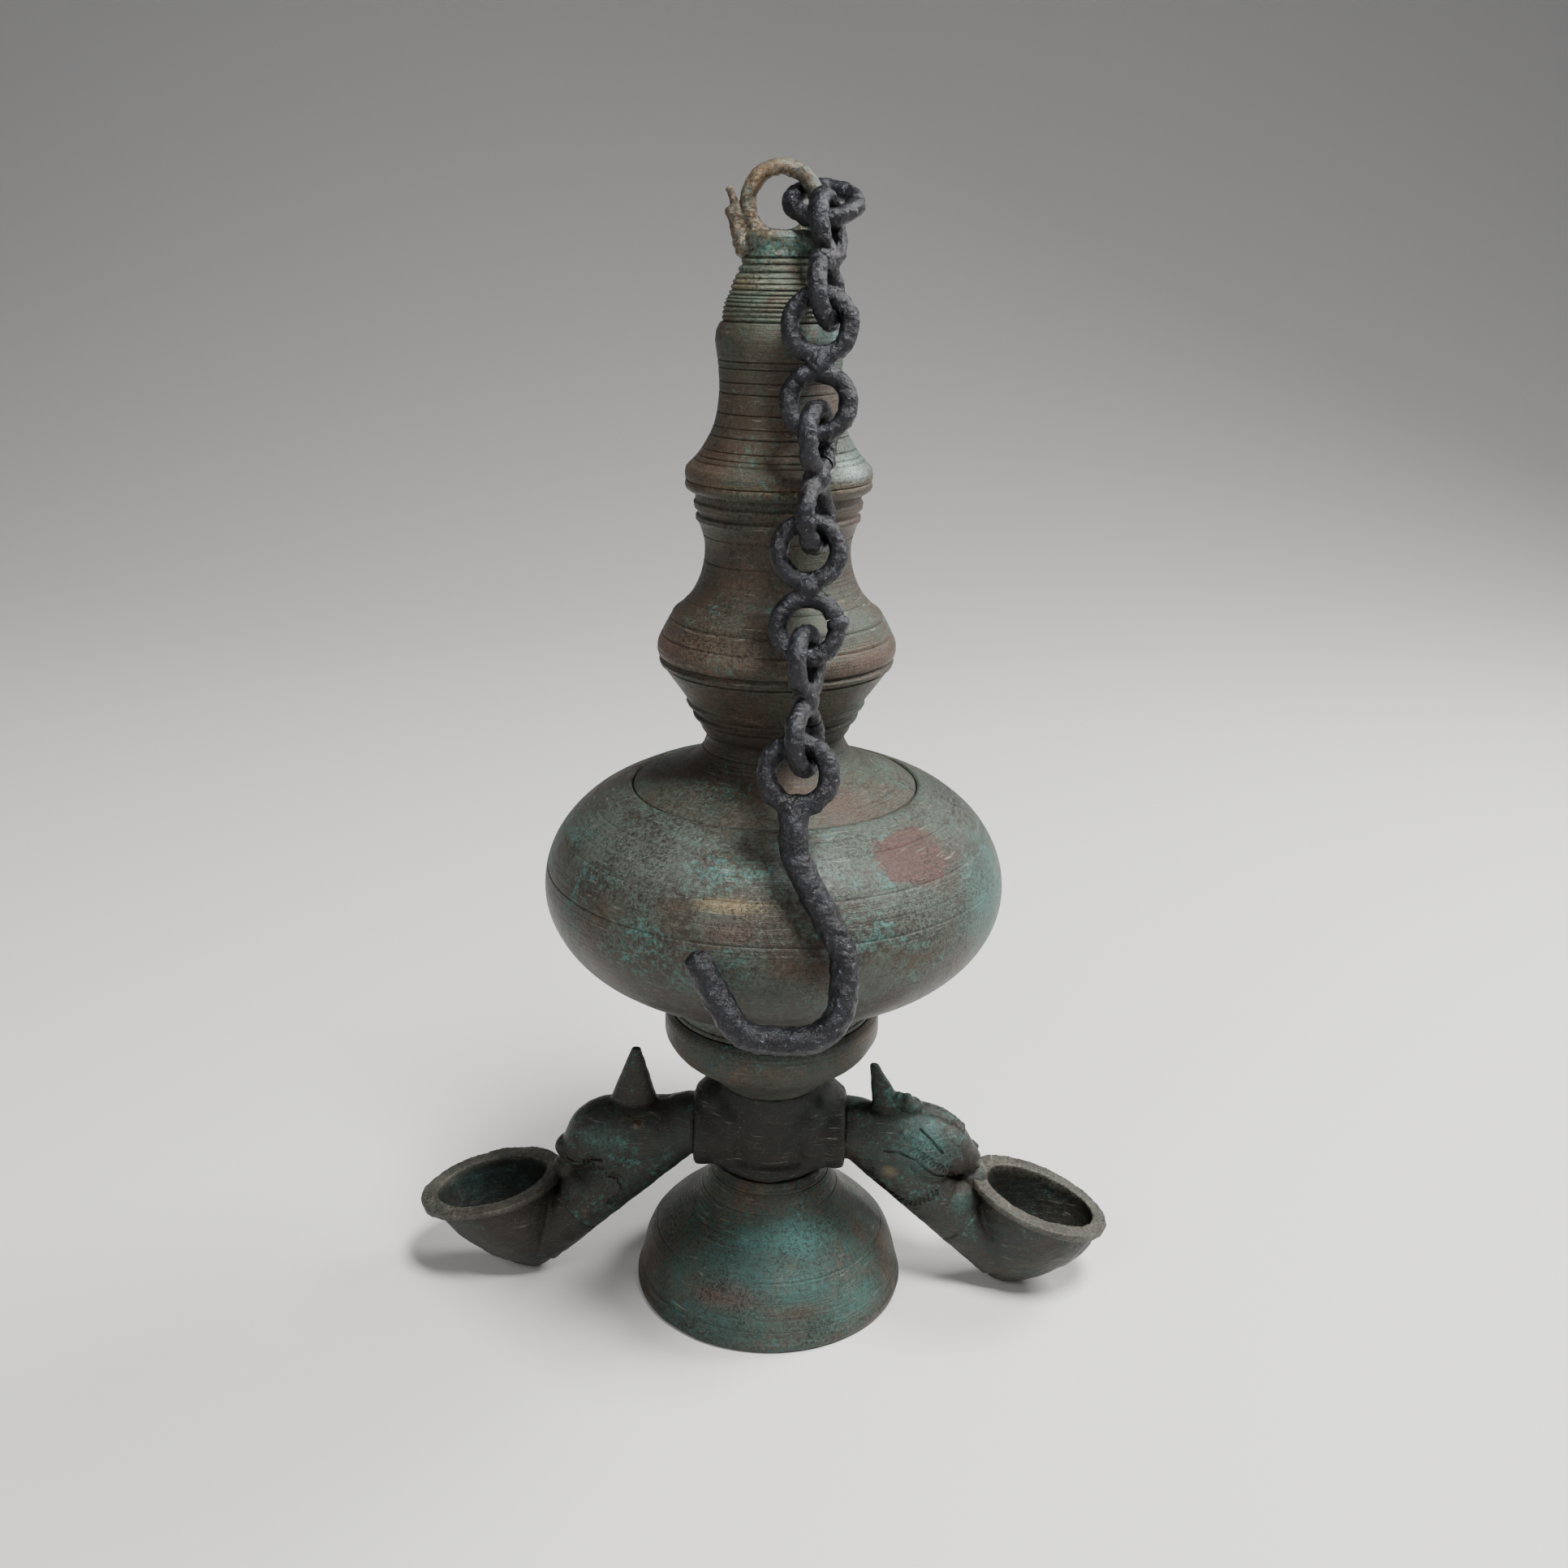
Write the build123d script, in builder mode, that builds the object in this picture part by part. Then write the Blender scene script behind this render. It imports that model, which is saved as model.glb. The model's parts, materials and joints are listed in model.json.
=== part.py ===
from build123d import *
from math import asin, atan2, cos, degrees, radians, sin, sqrt, tan
import os

# A cast-bronze oil lamp with two wick cups and a forged iron hanging chain.
# Origin: on the lamp's axis, in the plane that the foot rim stands on. +Z is up, the two arms
# lie along X, and the chain hangs down the front (-Y). Millimetres.

# Stacked castings, from the table up
foot_radius = 40.7
foot_height = 41.5
foot_rim = 4.0            # height of the rim bead
neck_radius = 16.6        # top of the foot
hub_radius = 15.3
hub_ring = 16.4           # radius of the base ring of the hub
hub_height = 27.5
collar_radius = 31.4
collar_height = 24.0
reservoir_radius = 65.0
reservoir_neck = 29.5     # outer radius of the short neck under the reservoir
reservoir_height = 69.0
belly_below = 29.5        # belly line down to the bottom of the lower curve
belly_above = 31.5        # belly line up to the top of the upper curve
lid_height = 81.5
bulge_radius = 32.6       # widest ring of the lid's stem
spire_height = 42.7
skirt_radius = 24.8       # widest ring of the spire
cone_height = 15.8
crown_height = 6.5
wall = 2.2                # sheet of the hollow castings
shoulder = 40.0           # radius of the recess that the lid sits in
shoulder_land = 0.7       # flat edge of the reservoir around that recess
recess_depth = 2.0

# Fits between the castings
fit = 0.05                # radial clearance of a tenon in its socket
seat_gap = 0.35           # clearance of a moving edge beside a fixed one
hub_tenon = 6.0           # radius of the riveted tenon that holds the foot
hub_spigot = 9.0
duct = 4.0                # oil way down the hub
arm_tenon = 7.0
throat_radius = 22.0      # bore that the lid screws into
thread_gap = 0.08
thread_length = 8.0
throat_wall = 2.5
washer_thickness = 1.0
washer_inner = 25.5
washer_outer = 36.0
lid_bore = 15.5
spire_bore = 11.0
cone_bore = 8.0
spigot_length = 4.0

# Arms, animal heads and wick cups
arm_radius = 9.4
arm_bore = 5.0
boss_rim = 2.9            # boss beyond the arm that is let into it
boss_drop = 1.8           # how far the bosses reach below the hub
arm_start = 22.5          # hub axis to the face that an arm is fixed on
arm_slope = 42.3          # degrees below level
arm_level = 0.6313        # straight run between the hub and the bend
arm_joint = 43.0          # length of the sloping run up to the cup
cup_length = 45.0
cup_width = 37.0
cup_lip = 3.2
cup_lip_thickness = 2.0
cup_wall = 2.0
cup_depth = 21.16         # heel of a cup below the end of its arm

# Hanging loop and chain
loop_radius = 8.6
loop_wire = 2.05
ring_radius = 8.1
ring_lean = 63.0          # degrees forward of straight down
link_eye = 7.3            # mean radius of each eye of a link
wire = 2.3                # radius of the chain's iron
eye_spacing = 18.6
waist = 3.4               # radius of the forged lump between the eyes
turned = 71.0             # odd links hang turned about their length
link_leans = [36.3, 12.2, 13.5, 15.5, 18.2]
chain_gap = 1.24          # play between neighbouring links
ring_side = 10.3          # how far to the right of the axis each piece of the chain hangs
link_sides = [11.8, 10.4, 10.4, 9.0, 9.0]
hook_side = 7.6
hook_lean = 20.0
hook_eye = 7.7
hook_eye_wire = 2.6
hook_wire = 3.5
hook_gap = 0.6            # hook to reservoir

# Levels, and what follows from the sizes above
hub_z = foot_height
boss_radius = arm_radius + boss_rim
bend_radius = arm_radius + 0.6
arm_height = hub_z + boss_radius - boss_drop
collar_z = hub_z + hub_height
reservoir_z = collar_z + collar_height
seat_z = reservoir_z + reservoir_height
flange_z = seat_z - recess_depth + washer_thickness
spire_z = seat_z + lid_height
cone_z = spire_z + spire_height
crown_z = cone_z + cone_height
loop_z = crown_z + crown_height + loop_radius - loop_wire

belly_bulge = 40.0        # half-length of the belly curves, measured along the radius
belly_centre = reservoir_radius - belly_bulge
seat_out = shoulder + shoulder_land
belly_z = seat_z - belly_above * sqrt(1 - ((seat_out - belly_centre) / belly_bulge) ** 2)

os.makedirs("parts", exist_ok=True)


def save(piece, name):
    piece.label = name
    export_step(piece, f"parts/{name}.step")


# Foot: an open bell that is riveted to the hub through its ceiling.
with BuildPart() as foot:
    foot_ceiling = foot_height - 5.5
    with BuildSketch(Plane.XZ) as foot_section:
        with BuildLine():
            Polyline(
                (foot_radius - wall, 0),
                (foot_radius - 1.1, 0),
                (foot_radius, 1.5),
                (foot_radius, foot_rim),
            )
            Spline(
                (foot_radius, foot_rim),
                (foot_radius - 3.1, 14),
                (foot_radius - 6.8, 20),
                (neck_radius + 6.4, foot_height - 11.5),
                (neck_radius + 1.6, foot_height - 4),
                (neck_radius, foot_height),
            )
            Polyline(
                (neck_radius, foot_height),
                (hub_tenon + fit, foot_height),
                (hub_tenon + fit, foot_ceiling),
                (neck_radius - 4, foot_ceiling),
                (neck_radius + 2, foot_height - 12),
            )
            Spline(
                (neck_radius + 2, foot_height - 12),
                (foot_radius - 11, 18),
                (foot_radius - wall - 2, 8),
                (foot_radius - wall, 0),
            )
        make_face()
    revolve(axis=Axis.Z)
save(foot.part, "foot")

# Hub: a solid turned block, drilled for the oil, with a socket on each side for an arm.
with BuildPart() as hub:
    rivet_z = foot_height - 5.5
    with BuildSketch(Plane.XZ):
        with BuildLine():
            Polyline(
                (0, rivet_z - 2.5),
                (hub_tenon + 2, rivet_z - 2.5),
                (hub_tenon + 3, rivet_z - 1.5),
                (hub_tenon + 3, rivet_z),
                (hub_tenon, rivet_z),
                (hub_tenon, hub_z),
                (hub_ring - 0.6, hub_z),
                (hub_ring, hub_z + 0.8),
                (hub_ring, hub_z + 4.4),
                (hub_ring - 1.6, hub_z + 5),
                (hub_ring - 1.6, hub_z + 5.8),
                (hub_radius, hub_z + 6.4),
                (hub_radius, collar_z),
                (hub_spigot, collar_z),
                (hub_spigot, collar_z + 3),
                (0, collar_z + 3),
                close=True,
            )
        make_face()
    revolve(axis=Axis.Z)
    cross_axis = Plane(origin=(0, 0, arm_height), z_dir=(1, 0, 0))
    with BuildSketch(cross_axis):
        Circle(boss_radius - 2.3)
    extrude(amount=arm_start, both=True)
    for side in (-1, 1):
        with BuildSketch(Plane(origin=(side * (arm_start - 4.5), 0, arm_height), z_dir=(side, 0, 0))):
            Circle(boss_radius)
        extrude(amount=4.5)
        with BuildSketch(Plane(origin=(side * (arm_start - 5), 0, arm_height), z_dir=(side, 0, 0))):
            Circle(arm_tenon + fit)
        extrude(amount=6, mode=Mode.SUBTRACT)
    with BuildSketch(cross_axis):
        Circle(duct)
    extrude(amount=arm_start, both=True, mode=Mode.SUBTRACT)
    with BuildSketch(Plane.XY.offset(arm_height)):
        Circle(duct - 0.5)
    extrude(amount=hub_height, mode=Mode.SUBTRACT)
save(hub.part, "hub")


def arm_direction():
    return Vector(cos(radians(arm_slope)), 0, -sin(radians(arm_slope)))


bend = Vector(arm_start + arm_level + bend_radius * tan(radians(arm_slope / 2)), 0, arm_height)
joint = bend + arm_direction() * arm_joint


def arm_path(from_x, past_joint=0):
    """Centreline of an arm's tube: level, then sloping down to the cup."""
    end = joint + arm_direction() * past_joint
    with BuildLine(Plane.XZ) as path:
        FilletPolyline((from_x, arm_height), (bend.X, bend.Z), (end.X, end.Z), radius=bend_radius)
    return path.line


def make_arm(horn_base, horn_length, horn_tip, brow, nose):
    """One arm on the +X side: a bent tube, with an animal's head and horn cast on its back."""
    start = Vector(arm_start, 0, arm_height)
    with BuildPart() as arm:
        with BuildSketch(Plane(origin=start, z_dir=(1, 0, 0))) as tube:
            Circle(arm_radius)
        sweep(tube.sketch, path=arm_path(arm_start))
        # Head: rings from the root of the tube over the neck to the muzzle.
        for ring_at, radius, tilt in (
            (bend + Vector(5, 0, -2.5), arm_radius + 0.8, 0),
            (bend + Vector(16, 0, -2.5), arm_radius + 1, 12),
            (brow, 8.4, 35),
            (nose - Vector(4, 0, -1.5), 6.0, 35),
            (nose, 3.4, 30),
        ):
            normal = (cos(radians(tilt)), 0, -sin(radians(tilt)))
            with BuildSketch(Plane(origin=ring_at, x_dir=(0, 1, 0), z_dir=normal)):
                Circle(radius)
        loft()
        # Horn: a flat blade that tapers to a blunt point.
        with BuildSketch(Plane(origin=horn_base)):
            Ellipse(horn_length / 2, 4.6)
        with BuildSketch(Plane(origin=horn_tip)):
            Ellipse(1.3, 1.1)
        loft()
        # Tenon that is fixed in the hub, and the oil way right through.
        with BuildSketch(Plane(origin=start, z_dir=(-1, 0, 0))):
            Circle(arm_tenon)
        extrude(amount=4.8)
        with BuildSketch(Plane(origin=start - Vector(6, 0, 0), z_dir=(1, 0, 0))) as bore:
            Circle(arm_bore)
        sweep(bore.sketch, path=arm_path(arm_start - 6, past_joint=1), mode=Mode.SUBTRACT)
        # Socket for the cup's tenon.
        with BuildSketch(Plane(origin=joint, z_dir=arm_direction() * -1)):
            Circle(arm_tenon + fit)
        extrude(amount=4, mode=Mode.SUBTRACT)
    return arm.part


def make_cup(tilt, rim_out, rim_up):
    """One wick cup on the +X side: an oval scoop on a stub that meets the arm."""
    rim_normal = (sin(radians(tilt)), 0, cos(radians(tilt)))
    rim = Plane(origin=(joint.X + rim_out, 0, joint.Z + rim_up), x_dir=(cos(radians(tilt)), 0, -sin(radians(tilt))), z_dir=rim_normal)
    mouth_x = cup_length / 2 - cup_lip
    mouth_y = cup_width / 2 - cup_lip
    heel = Plane(origin=(joint.X + 15.5, 0, joint.Z - cup_depth))
    middle = Plane(origin=(joint.X + 21.5, 0, joint.Z - cup_depth + 11.1))
    with BuildPart() as cup:
        with BuildSketch(heel):
            Ellipse(5, 4.4)
        with BuildSketch(middle):
            Ellipse(mouth_x - 3.2, mouth_y - 2.8)
        with BuildSketch(rim.offset(-cup_lip_thickness / 2)):
            Ellipse(mouth_x, mouth_y)
        loft()
        with BuildSketch(rim.offset(-cup_lip_thickness)):
            Ellipse(cup_length / 2, cup_width / 2)
        extrude(amount=cup_lip_thickness)
        with BuildSketch(Plane(origin=joint, z_dir=arm_direction())):
            Circle(arm_radius)
        extrude(amount=18)
        # Seat for the rounded end of the arm's tube.
        with BuildSketch(Plane(origin=joint, z_dir=arm_direction() * -1)):
            Circle(arm_radius + fit)
        extrude(amount=14, mode=Mode.SUBTRACT)
        # Hollow of the cup.
        with BuildSketch(heel.offset(cup_wall)):
            Ellipse(3.6, 3.0)
        with BuildSketch(middle.offset(0.6)):
            Ellipse(mouth_x - 3.2 - cup_wall, mouth_y - 2.8 - cup_wall)
        with BuildSketch(rim.offset(0.5)):
            Ellipse(mouth_x - cup_wall, mouth_y - cup_wall)
        loft(mode=Mode.SUBTRACT)
        # Tenon in the arm, and the oil way into the cup.
        with BuildSketch(Plane(origin=joint, z_dir=arm_direction() * -1)):
            Circle(arm_tenon)
        extrude(amount=3.8)
        with BuildSketch(Plane(origin=joint - arm_direction() * 5, z_dir=arm_direction())):
            Circle(arm_bore)
        extrude(amount=19, mode=Mode.SUBTRACT)
    return cup.part


right_arm = make_arm(
    horn_base=bend + Vector(10, 0, 3),
    horn_length=12,
    horn_tip=bend + Vector(3.8, 0, 21.5),
    brow=bend + Vector(25, 0, -4.5),
    nose=bend + Vector(35, 0, -10.5),
)
save(right_arm, "right_arm")
left_arm = make_arm(
    horn_base=bend + Vector(14.5, 0, 3.5),
    horn_length=17,
    horn_tip=bend + Vector(13.4, 0, 24.8),
    brow=bend + Vector(26, 0, -3.5),
    nose=bend + Vector(36.5, 0, -12),
).mirror(Plane.YZ)
save(left_arm, "left_arm")
right_cup = make_cup(tilt=20, rim_out=23.6, rim_up=7.44)
save(right_cup, "right_cup")
left_cup = make_cup(tilt=13, rim_out=27.2, rim_up=6.34).mirror(Plane.YZ)
save(left_cup, "left_cup")

# Collar: a flaring cup between the hub and the reservoir, open inside for the oil.
with BuildPart() as collar:
    register = reservoir_neck - wall - fit
    with BuildSketch(Plane.XZ):
        with BuildLine():
            Polyline(
                (duct, collar_z + 3),
                (hub_spigot + fit, collar_z + 3),
                (hub_spigot + fit, collar_z),
                (hub_radius + 0.2, collar_z),
                (hub_radius + 2.6, collar_z + 2.6),
            )
            Spline(
                (hub_radius + 2.6, collar_z + 2.6),
                (collar_radius - 8.6, collar_z + 7),
                (collar_radius - 3.0, reservoir_z - 12.6),
                (collar_radius, reservoir_z - 7),
            )
            Polyline(
                (collar_radius, reservoir_z - 7),
                (collar_radius, reservoir_z - 2),
                (collar_radius - 1.2, reservoir_z),
                (register, reservoir_z),
                (register, reservoir_z + 2),
                (register - 1.6, reservoir_z + 2),
                (register - 1.6, reservoir_z - 6),
                (hub_radius + 4, collar_z + 9),
                (duct, collar_z + 6),
                (duct, collar_z + 3),
            )
        make_face()
    revolve(axis=Axis.Z)
save(collar.part, "collar")

# Reservoir: a wide hollow bowl with an inturned throat for the lid.
with BuildPart() as reservoir:
    ledge_z = seat_z - recess_depth
    belly_middle = (belly_centre, belly_z)
    lower_end = -52.0         # where the lower curve meets the cone under it
    inner_bulge = belly_bulge - wall
    ledge_angle = degrees(asin((ledge_z - wall - belly_z) / (belly_above - wall)))
    with BuildSketch(Plane.XZ):
        with BuildLine():
            lower = EllipticalCenterArc(
                belly_middle, belly_bulge, belly_below, start_angle=lower_end, arc_size=-lower_end
            )
            seat_angle = degrees(asin((seat_z - belly_z) / belly_above))
            upper = EllipticalCenterArc(
                belly_middle, belly_bulge, belly_above, start_angle=0, arc_size=seat_angle
            )
            Polyline(
                upper @ 1,
                (shoulder, seat_z),
                (shoulder, ledge_z),
                (throat_radius, ledge_z),
                (throat_radius, ledge_z - thread_length - 2),
                (throat_radius + throat_wall, ledge_z - thread_length - 2),
                (throat_radius + throat_wall, ledge_z - wall),
            )
            inner_upper = EllipticalCenterArc(
                belly_middle, inner_bulge, belly_above - wall, start_angle=0, arc_size=ledge_angle
            )
            Line((throat_radius + throat_wall, ledge_z - wall), inner_upper @ 1)
            inner_lower = EllipticalCenterArc(
                belly_middle, inner_bulge, belly_below - wall, start_angle=lower_end, arc_size=-lower_end
            )
            Polyline(
                inner_lower @ 0,
                (reservoir_neck - wall, reservoir_z + 5.4),
                (reservoir_neck - wall, reservoir_z),
                (reservoir_neck, reservoir_z),
                (reservoir_neck, reservoir_z + 5),
                lower @ 0,
            )
        make_face()
    revolve(axis=Axis.Z)
save(reservoir.part, "reservoir")

# Washer: an oiled leather ring that the lid is screwed down on.
with BuildPart() as lid_washer:
    with BuildSketch(Plane.XY.offset(seat_z - recess_depth)):
        Circle(washer_outer)
        Circle(washer_inner, mode=Mode.SUBTRACT)
    extrude(amount=washer_thickness)
save(lid_washer.part, "lid_washer")

# Lower tower: the screw-on lid of the reservoir, drawn up into a waisted stem.
with BuildPart() as tower_lower:
    waist_z = seat_z + 13.3
    bulge_z = spire_z - 43.5
    spigot_radius = throat_radius - thread_gap
    with BuildSketch(Plane.XZ):
        with BuildLine():
            Polyline(
                (lid_bore, flange_z - thread_length),
                (spigot_radius, flange_z - thread_length),
                (spigot_radius, flange_z),
                (shoulder - seat_gap, flange_z),
                (shoulder - seat_gap, seat_z),
            )
            Spline(
                (shoulder - seat_gap, seat_z),
                (30, seat_z + 4),
                (22.5, seat_z + 8),
                (19.2, waist_z),
                (21, waist_z + 5.5),
                (bulge_radius - 6.8, bulge_z - 10),
                (bulge_radius - 1, bulge_z - 2),
            )
            Polyline(
                (bulge_radius - 1, bulge_z - 2),
                (bulge_radius, bulge_z),
                (bulge_radius - 0.2, bulge_z + 2.5),
            )
            Spline(
                (bulge_radius - 0.2, bulge_z + 2.5),
                (bulge_radius - 2.7, bulge_z + 8),
                (bulge_radius - 4.5, bulge_z + 11),
            )
            Line((bulge_radius - 4.5, bulge_z + 11), (bulge_radius - 5.4, bulge_z + 11.4))
            Spline(
                (bulge_radius - 5.4, bulge_z + 11.4),
                (23, spire_z - 27.5),
                (20.4, spire_z - 21.5),
                (19.6, spire_z - 14.5),
                (21, spire_z - 8.5),
                (23.2, spire_z),
            )
            Polyline(
                (23.2, spire_z),
                (lid_bore, spire_z),
                (lid_bore, spire_z - 20),
            )
            Spline(
                (lid_bore, spire_z - 20),
                (bulge_radius - 8, bulge_z + 10),
                (bulge_radius - 4.5, bulge_z),
                (bulge_radius - 10, bulge_z - 11),
                (lid_bore, waist_z + 6),
            )
            Line((lid_bore, waist_z + 6), (lid_bore, flange_z - thread_length))
        make_face()
    revolve(axis=Axis.Z)
save(tower_lower.part, "tower_lower")

# Upper tower: a hollow casting that is driven into the top of the lid.
with BuildPart() as tower_upper:
    with BuildSketch(Plane.XZ):
        with BuildLine():
            Polyline(
                (spire_bore, spire_z - spigot_length),
                (lid_bore - fit, spire_z - spigot_length),
                (lid_bore - fit, spire_z),
                (skirt_radius - 1, spire_z),
                (skirt_radius, spire_z + 1.2),
                (skirt_radius, spire_z + 4.6),
                (skirt_radius - 0.8, spire_z + 6.6),
            )
            Spline(
                (skirt_radius - 0.8, spire_z + 6.6),
                (20.6, spire_z + 10.5),
                (17.2, spire_z + 17),
                (15.9, cone_z - 18),
                (16, cone_z - 12),
                (16.9, cone_z - 5),
            )
            Polyline(
                (16.9, cone_z - 5),
                (16.6, cone_z - 2),
                (15.6, cone_z),
                (spire_bore, cone_z),
                (spire_bore, spire_z - spigot_length),
            )
        make_face()
    revolve(axis=Axis.Z)
save(tower_upper.part, "tower_upper")

# Cone: the ringed finial on top of the tower.
with BuildPart() as finial_cone:
    with BuildSketch(Plane.XZ):
        with BuildLine():
            Polyline(
                (cone_bore, cone_z - spigot_length),
                (spire_bore - fit, cone_z - spigot_length),
                (spire_bore - fit, cone_z),
                (15.1, cone_z),
                (14.8, cone_z + 3.8),
                (13.6, cone_z + 6.8),
                (12, cone_z + 10.8),
                (9.7, crown_z),
                (cone_bore, crown_z),
                close=True,
            )
        make_face()
    revolve(axis=Axis.Z)
save(finial_cone.part, "finial_cone")

# Suspension loop: a crown with two leaf points and the standing ring, cast in one.
with BuildPart() as suspension_loop:
    crown_top = crown_z + crown_height
    with BuildSketch(Plane.XZ):
        with BuildLine():
            Polyline(
                (0, crown_z - spigot_length),
                (cone_bore - fit, crown_z - spigot_length),
                (cone_bore - fit, crown_z),
                (9.2, crown_z),
                (8.7, crown_z + 2),
                (9.2, crown_top - 1.2),
                (8.0, crown_top),
                (0, crown_top),
                close=True,
            )
        make_face()
    revolve(axis=Axis.Z)
    with BuildSketch(Plane(origin=(0, 0, loop_z + loop_radius), z_dir=(1, 0, 0))):
        Circle(loop_wire)
    revolve(axis=Axis((0, 0, loop_z), (0, 1, 0)))
    for root, tip, tip_radius in (
        (Vector(-8.0, 0, crown_top - 2.6), Vector(-13.6, 0, crown_top + 10), 0.9),
        (Vector(6.4, 3, crown_top - 2.6), Vector(14.2, 3.2, crown_top + 2.8), 1.1),
    ):
        along = (tip - root).normalized()
        with BuildSketch(Plane(origin=root, z_dir=along)):
            Circle(1.9)
        with BuildSketch(Plane(origin=tip, z_dir=along)):
            Circle(tip_radius)
        loft()
save(suspension_loop.part, "suspension_loop")


# Chain: every link hangs in a plane that leans forward, and the odd ones are turned in it.
def down(lean):
    return Vector(0, -sin(radians(lean)), -cos(radians(lean)))


def bisector(upper_axis, lower_axis):
    """Direction in which one piece of the chain bears on the next."""
    return (upper_axis + lower_axis).normalized()


ring_centre = Vector(ring_side, -1.5, loop_z + 0.1)
ring_axis = down(ring_lean)
ring_bottom = ring_centre + ring_axis * ring_radius
first_rod = ring_bottom - bisector(ring_axis, down(link_leans[0])) * (2 * wire + chain_gap)
hook_axis = down(hook_lean)
hook_rise = bisector(down(link_leans[-1]), hook_axis) * (wire + hook_eye_wire + chain_gap)

# Offset from the top of the first link to the bottom of the last one, as the chain hangs.
link_span = eye_spacing + 2 * link_eye
fall = down(link_leans[0]) * link_span
for above, below in zip(link_leans[:-1], link_leans[1:]):
    fall += down(below) * link_span - bisector(down(above), down(below)) * (2 * wire + chain_gap)

# The hook lies flat against the reservoir, so the whole chain turns outwards to meet it.
plane_y = cos(radians(hook_lean))
plane_z = sin(radians(hook_lean))
belly_reach = sqrt((belly_bulge * plane_y) ** 2 + (belly_above * plane_z) ** 2)
hook_plane = belly_centre * plane_y + belly_z * plane_z + belly_reach + hook_wire + hook_gap
hang_from = first_rod - hook_rise
still_to_go = hook_plane - (-hang_from.Y * plane_y + hang_from.Z * plane_z)
hang_angle = degrees(atan2(-fall.Y, -fall.Z))
chain_turn = hook_lean + degrees(asin(still_to_go / fall.length)) - hang_angle
leans = [lean + max(chain_turn, 0) for lean in link_leans]


def eye(centre, radius, section, plane_x, axis):
    """A ring of round iron; plane_x and axis span the plane that it lies in."""
    normal = plane_x.cross(axis)
    start = centre + plane_x * radius
    with BuildSketch(Plane(origin=start, z_dir=axis)) as rod:
        Circle(section)
    revolve(rod.sketch, axis=Axis(centre, normal))


across = Vector(1, 0, 0)
with BuildPart() as ring_link:
    eye(ring_centre, ring_radius, wire, across, down(ring_lean))
save(ring_link.part, "ring_link")

bottom_rod = ring_bottom
last_axis = ring_axis
top_rods = []
bottom_rods = []
for index, lean in enumerate(leans):
    axis = down(lean)
    spin = turned if index % 2 == 0 else 0
    front = axis.cross(across)
    flat = across * cos(radians(spin)) - front * sin(radians(spin))
    top_rod = bottom_rod - bisector(last_axis, axis) * (2 * wire + chain_gap)
    top_rod = Vector(link_sides[index], top_rod.Y, top_rod.Z)
    upper = top_rod + axis * link_eye
    lower = upper + axis * eye_spacing
    with BuildPart() as link:
        for centre in (upper, lower):
            eye(centre, link_eye, wire, flat, axis)
        with Locations(Location((upper + lower) * 0.5)):
            Sphere(waist)
    save(link.part, f"link_{index + 1}")
    bottom_rod = lower + axis * link_eye
    last_axis = axis
    top_rods.append(top_rod)
    bottom_rods.append(bottom_rod)

# Hook: one forged bar with an eye, bent to a wide open mouth.
hook_top = bottom_rod - bisector(last_axis, hook_axis) * (wire + hook_eye_wire + chain_gap)
hook_top = Vector(hook_side, hook_top.Y, hook_top.Z)
hook_centre = hook_top + hook_axis * hook_eye
hook_face = Plane(origin=hook_centre, x_dir=across, z_dir=hook_axis.cross(across))
with BuildPart() as hook:
    eye(hook_centre, hook_eye, hook_eye_wire, across, hook_axis)
    with BuildLine(hook_face) as bar:
        FilletPolyline(
            (-0.8, -8.5),
            (-0.8, -19.5),
            (12.8, -44.5),
            (12, -66),
            (-12.5, -65.2),
            (-23.2, -47.5),
            radius=[14, 12, 11.5, 9.5],
        )
    with BuildSketch(Plane(origin=bar.line @ 0, z_dir=bar.line % 0)) as section:
        Circle(hook_wire)
    sweep(section.sketch, path=bar.line)
    with Locations(Location(bar.line @ 1)):
        Sphere(hook_wire)
save(hook.part, "hook")
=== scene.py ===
import bpy
import json
from math import atan, cos, degrees, pi, radians, sin, sqrt
from mathutils import Matrix, Vector


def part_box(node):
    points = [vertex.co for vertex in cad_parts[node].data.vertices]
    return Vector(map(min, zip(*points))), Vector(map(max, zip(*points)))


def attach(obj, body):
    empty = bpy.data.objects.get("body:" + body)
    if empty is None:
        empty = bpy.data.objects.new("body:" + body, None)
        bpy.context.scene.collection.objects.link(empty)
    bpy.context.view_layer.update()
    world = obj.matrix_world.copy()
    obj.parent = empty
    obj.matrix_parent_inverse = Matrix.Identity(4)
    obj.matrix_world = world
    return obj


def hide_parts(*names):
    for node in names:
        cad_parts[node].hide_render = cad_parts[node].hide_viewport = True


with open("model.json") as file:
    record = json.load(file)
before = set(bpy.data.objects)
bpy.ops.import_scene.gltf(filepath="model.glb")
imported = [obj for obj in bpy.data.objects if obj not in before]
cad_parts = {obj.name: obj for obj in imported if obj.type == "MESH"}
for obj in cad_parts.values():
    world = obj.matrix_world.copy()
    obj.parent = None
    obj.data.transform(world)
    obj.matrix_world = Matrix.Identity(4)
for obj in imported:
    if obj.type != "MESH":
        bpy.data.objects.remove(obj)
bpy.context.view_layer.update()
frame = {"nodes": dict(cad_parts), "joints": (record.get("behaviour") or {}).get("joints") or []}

# ---------------------------------------------------------------------------
# Foot: a bell of cast bronze, turned outside and left rough inside. It stands on its rim,
# and the hub is riveted through its ceiling.
# ---------------------------------------------------------------------------

MM = 0.001


def clear_selection():
    if bpy.context.object and bpy.context.object.mode == "EDIT":
        bpy.ops.object.mode_set(mode="OBJECT")
    bpy.ops.object.select_all(action="DESELECT")


def only(piece):
    clear_selection()
    bpy.context.view_layer.objects.active = piece
    piece.select_set(True)
    return piece


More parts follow.
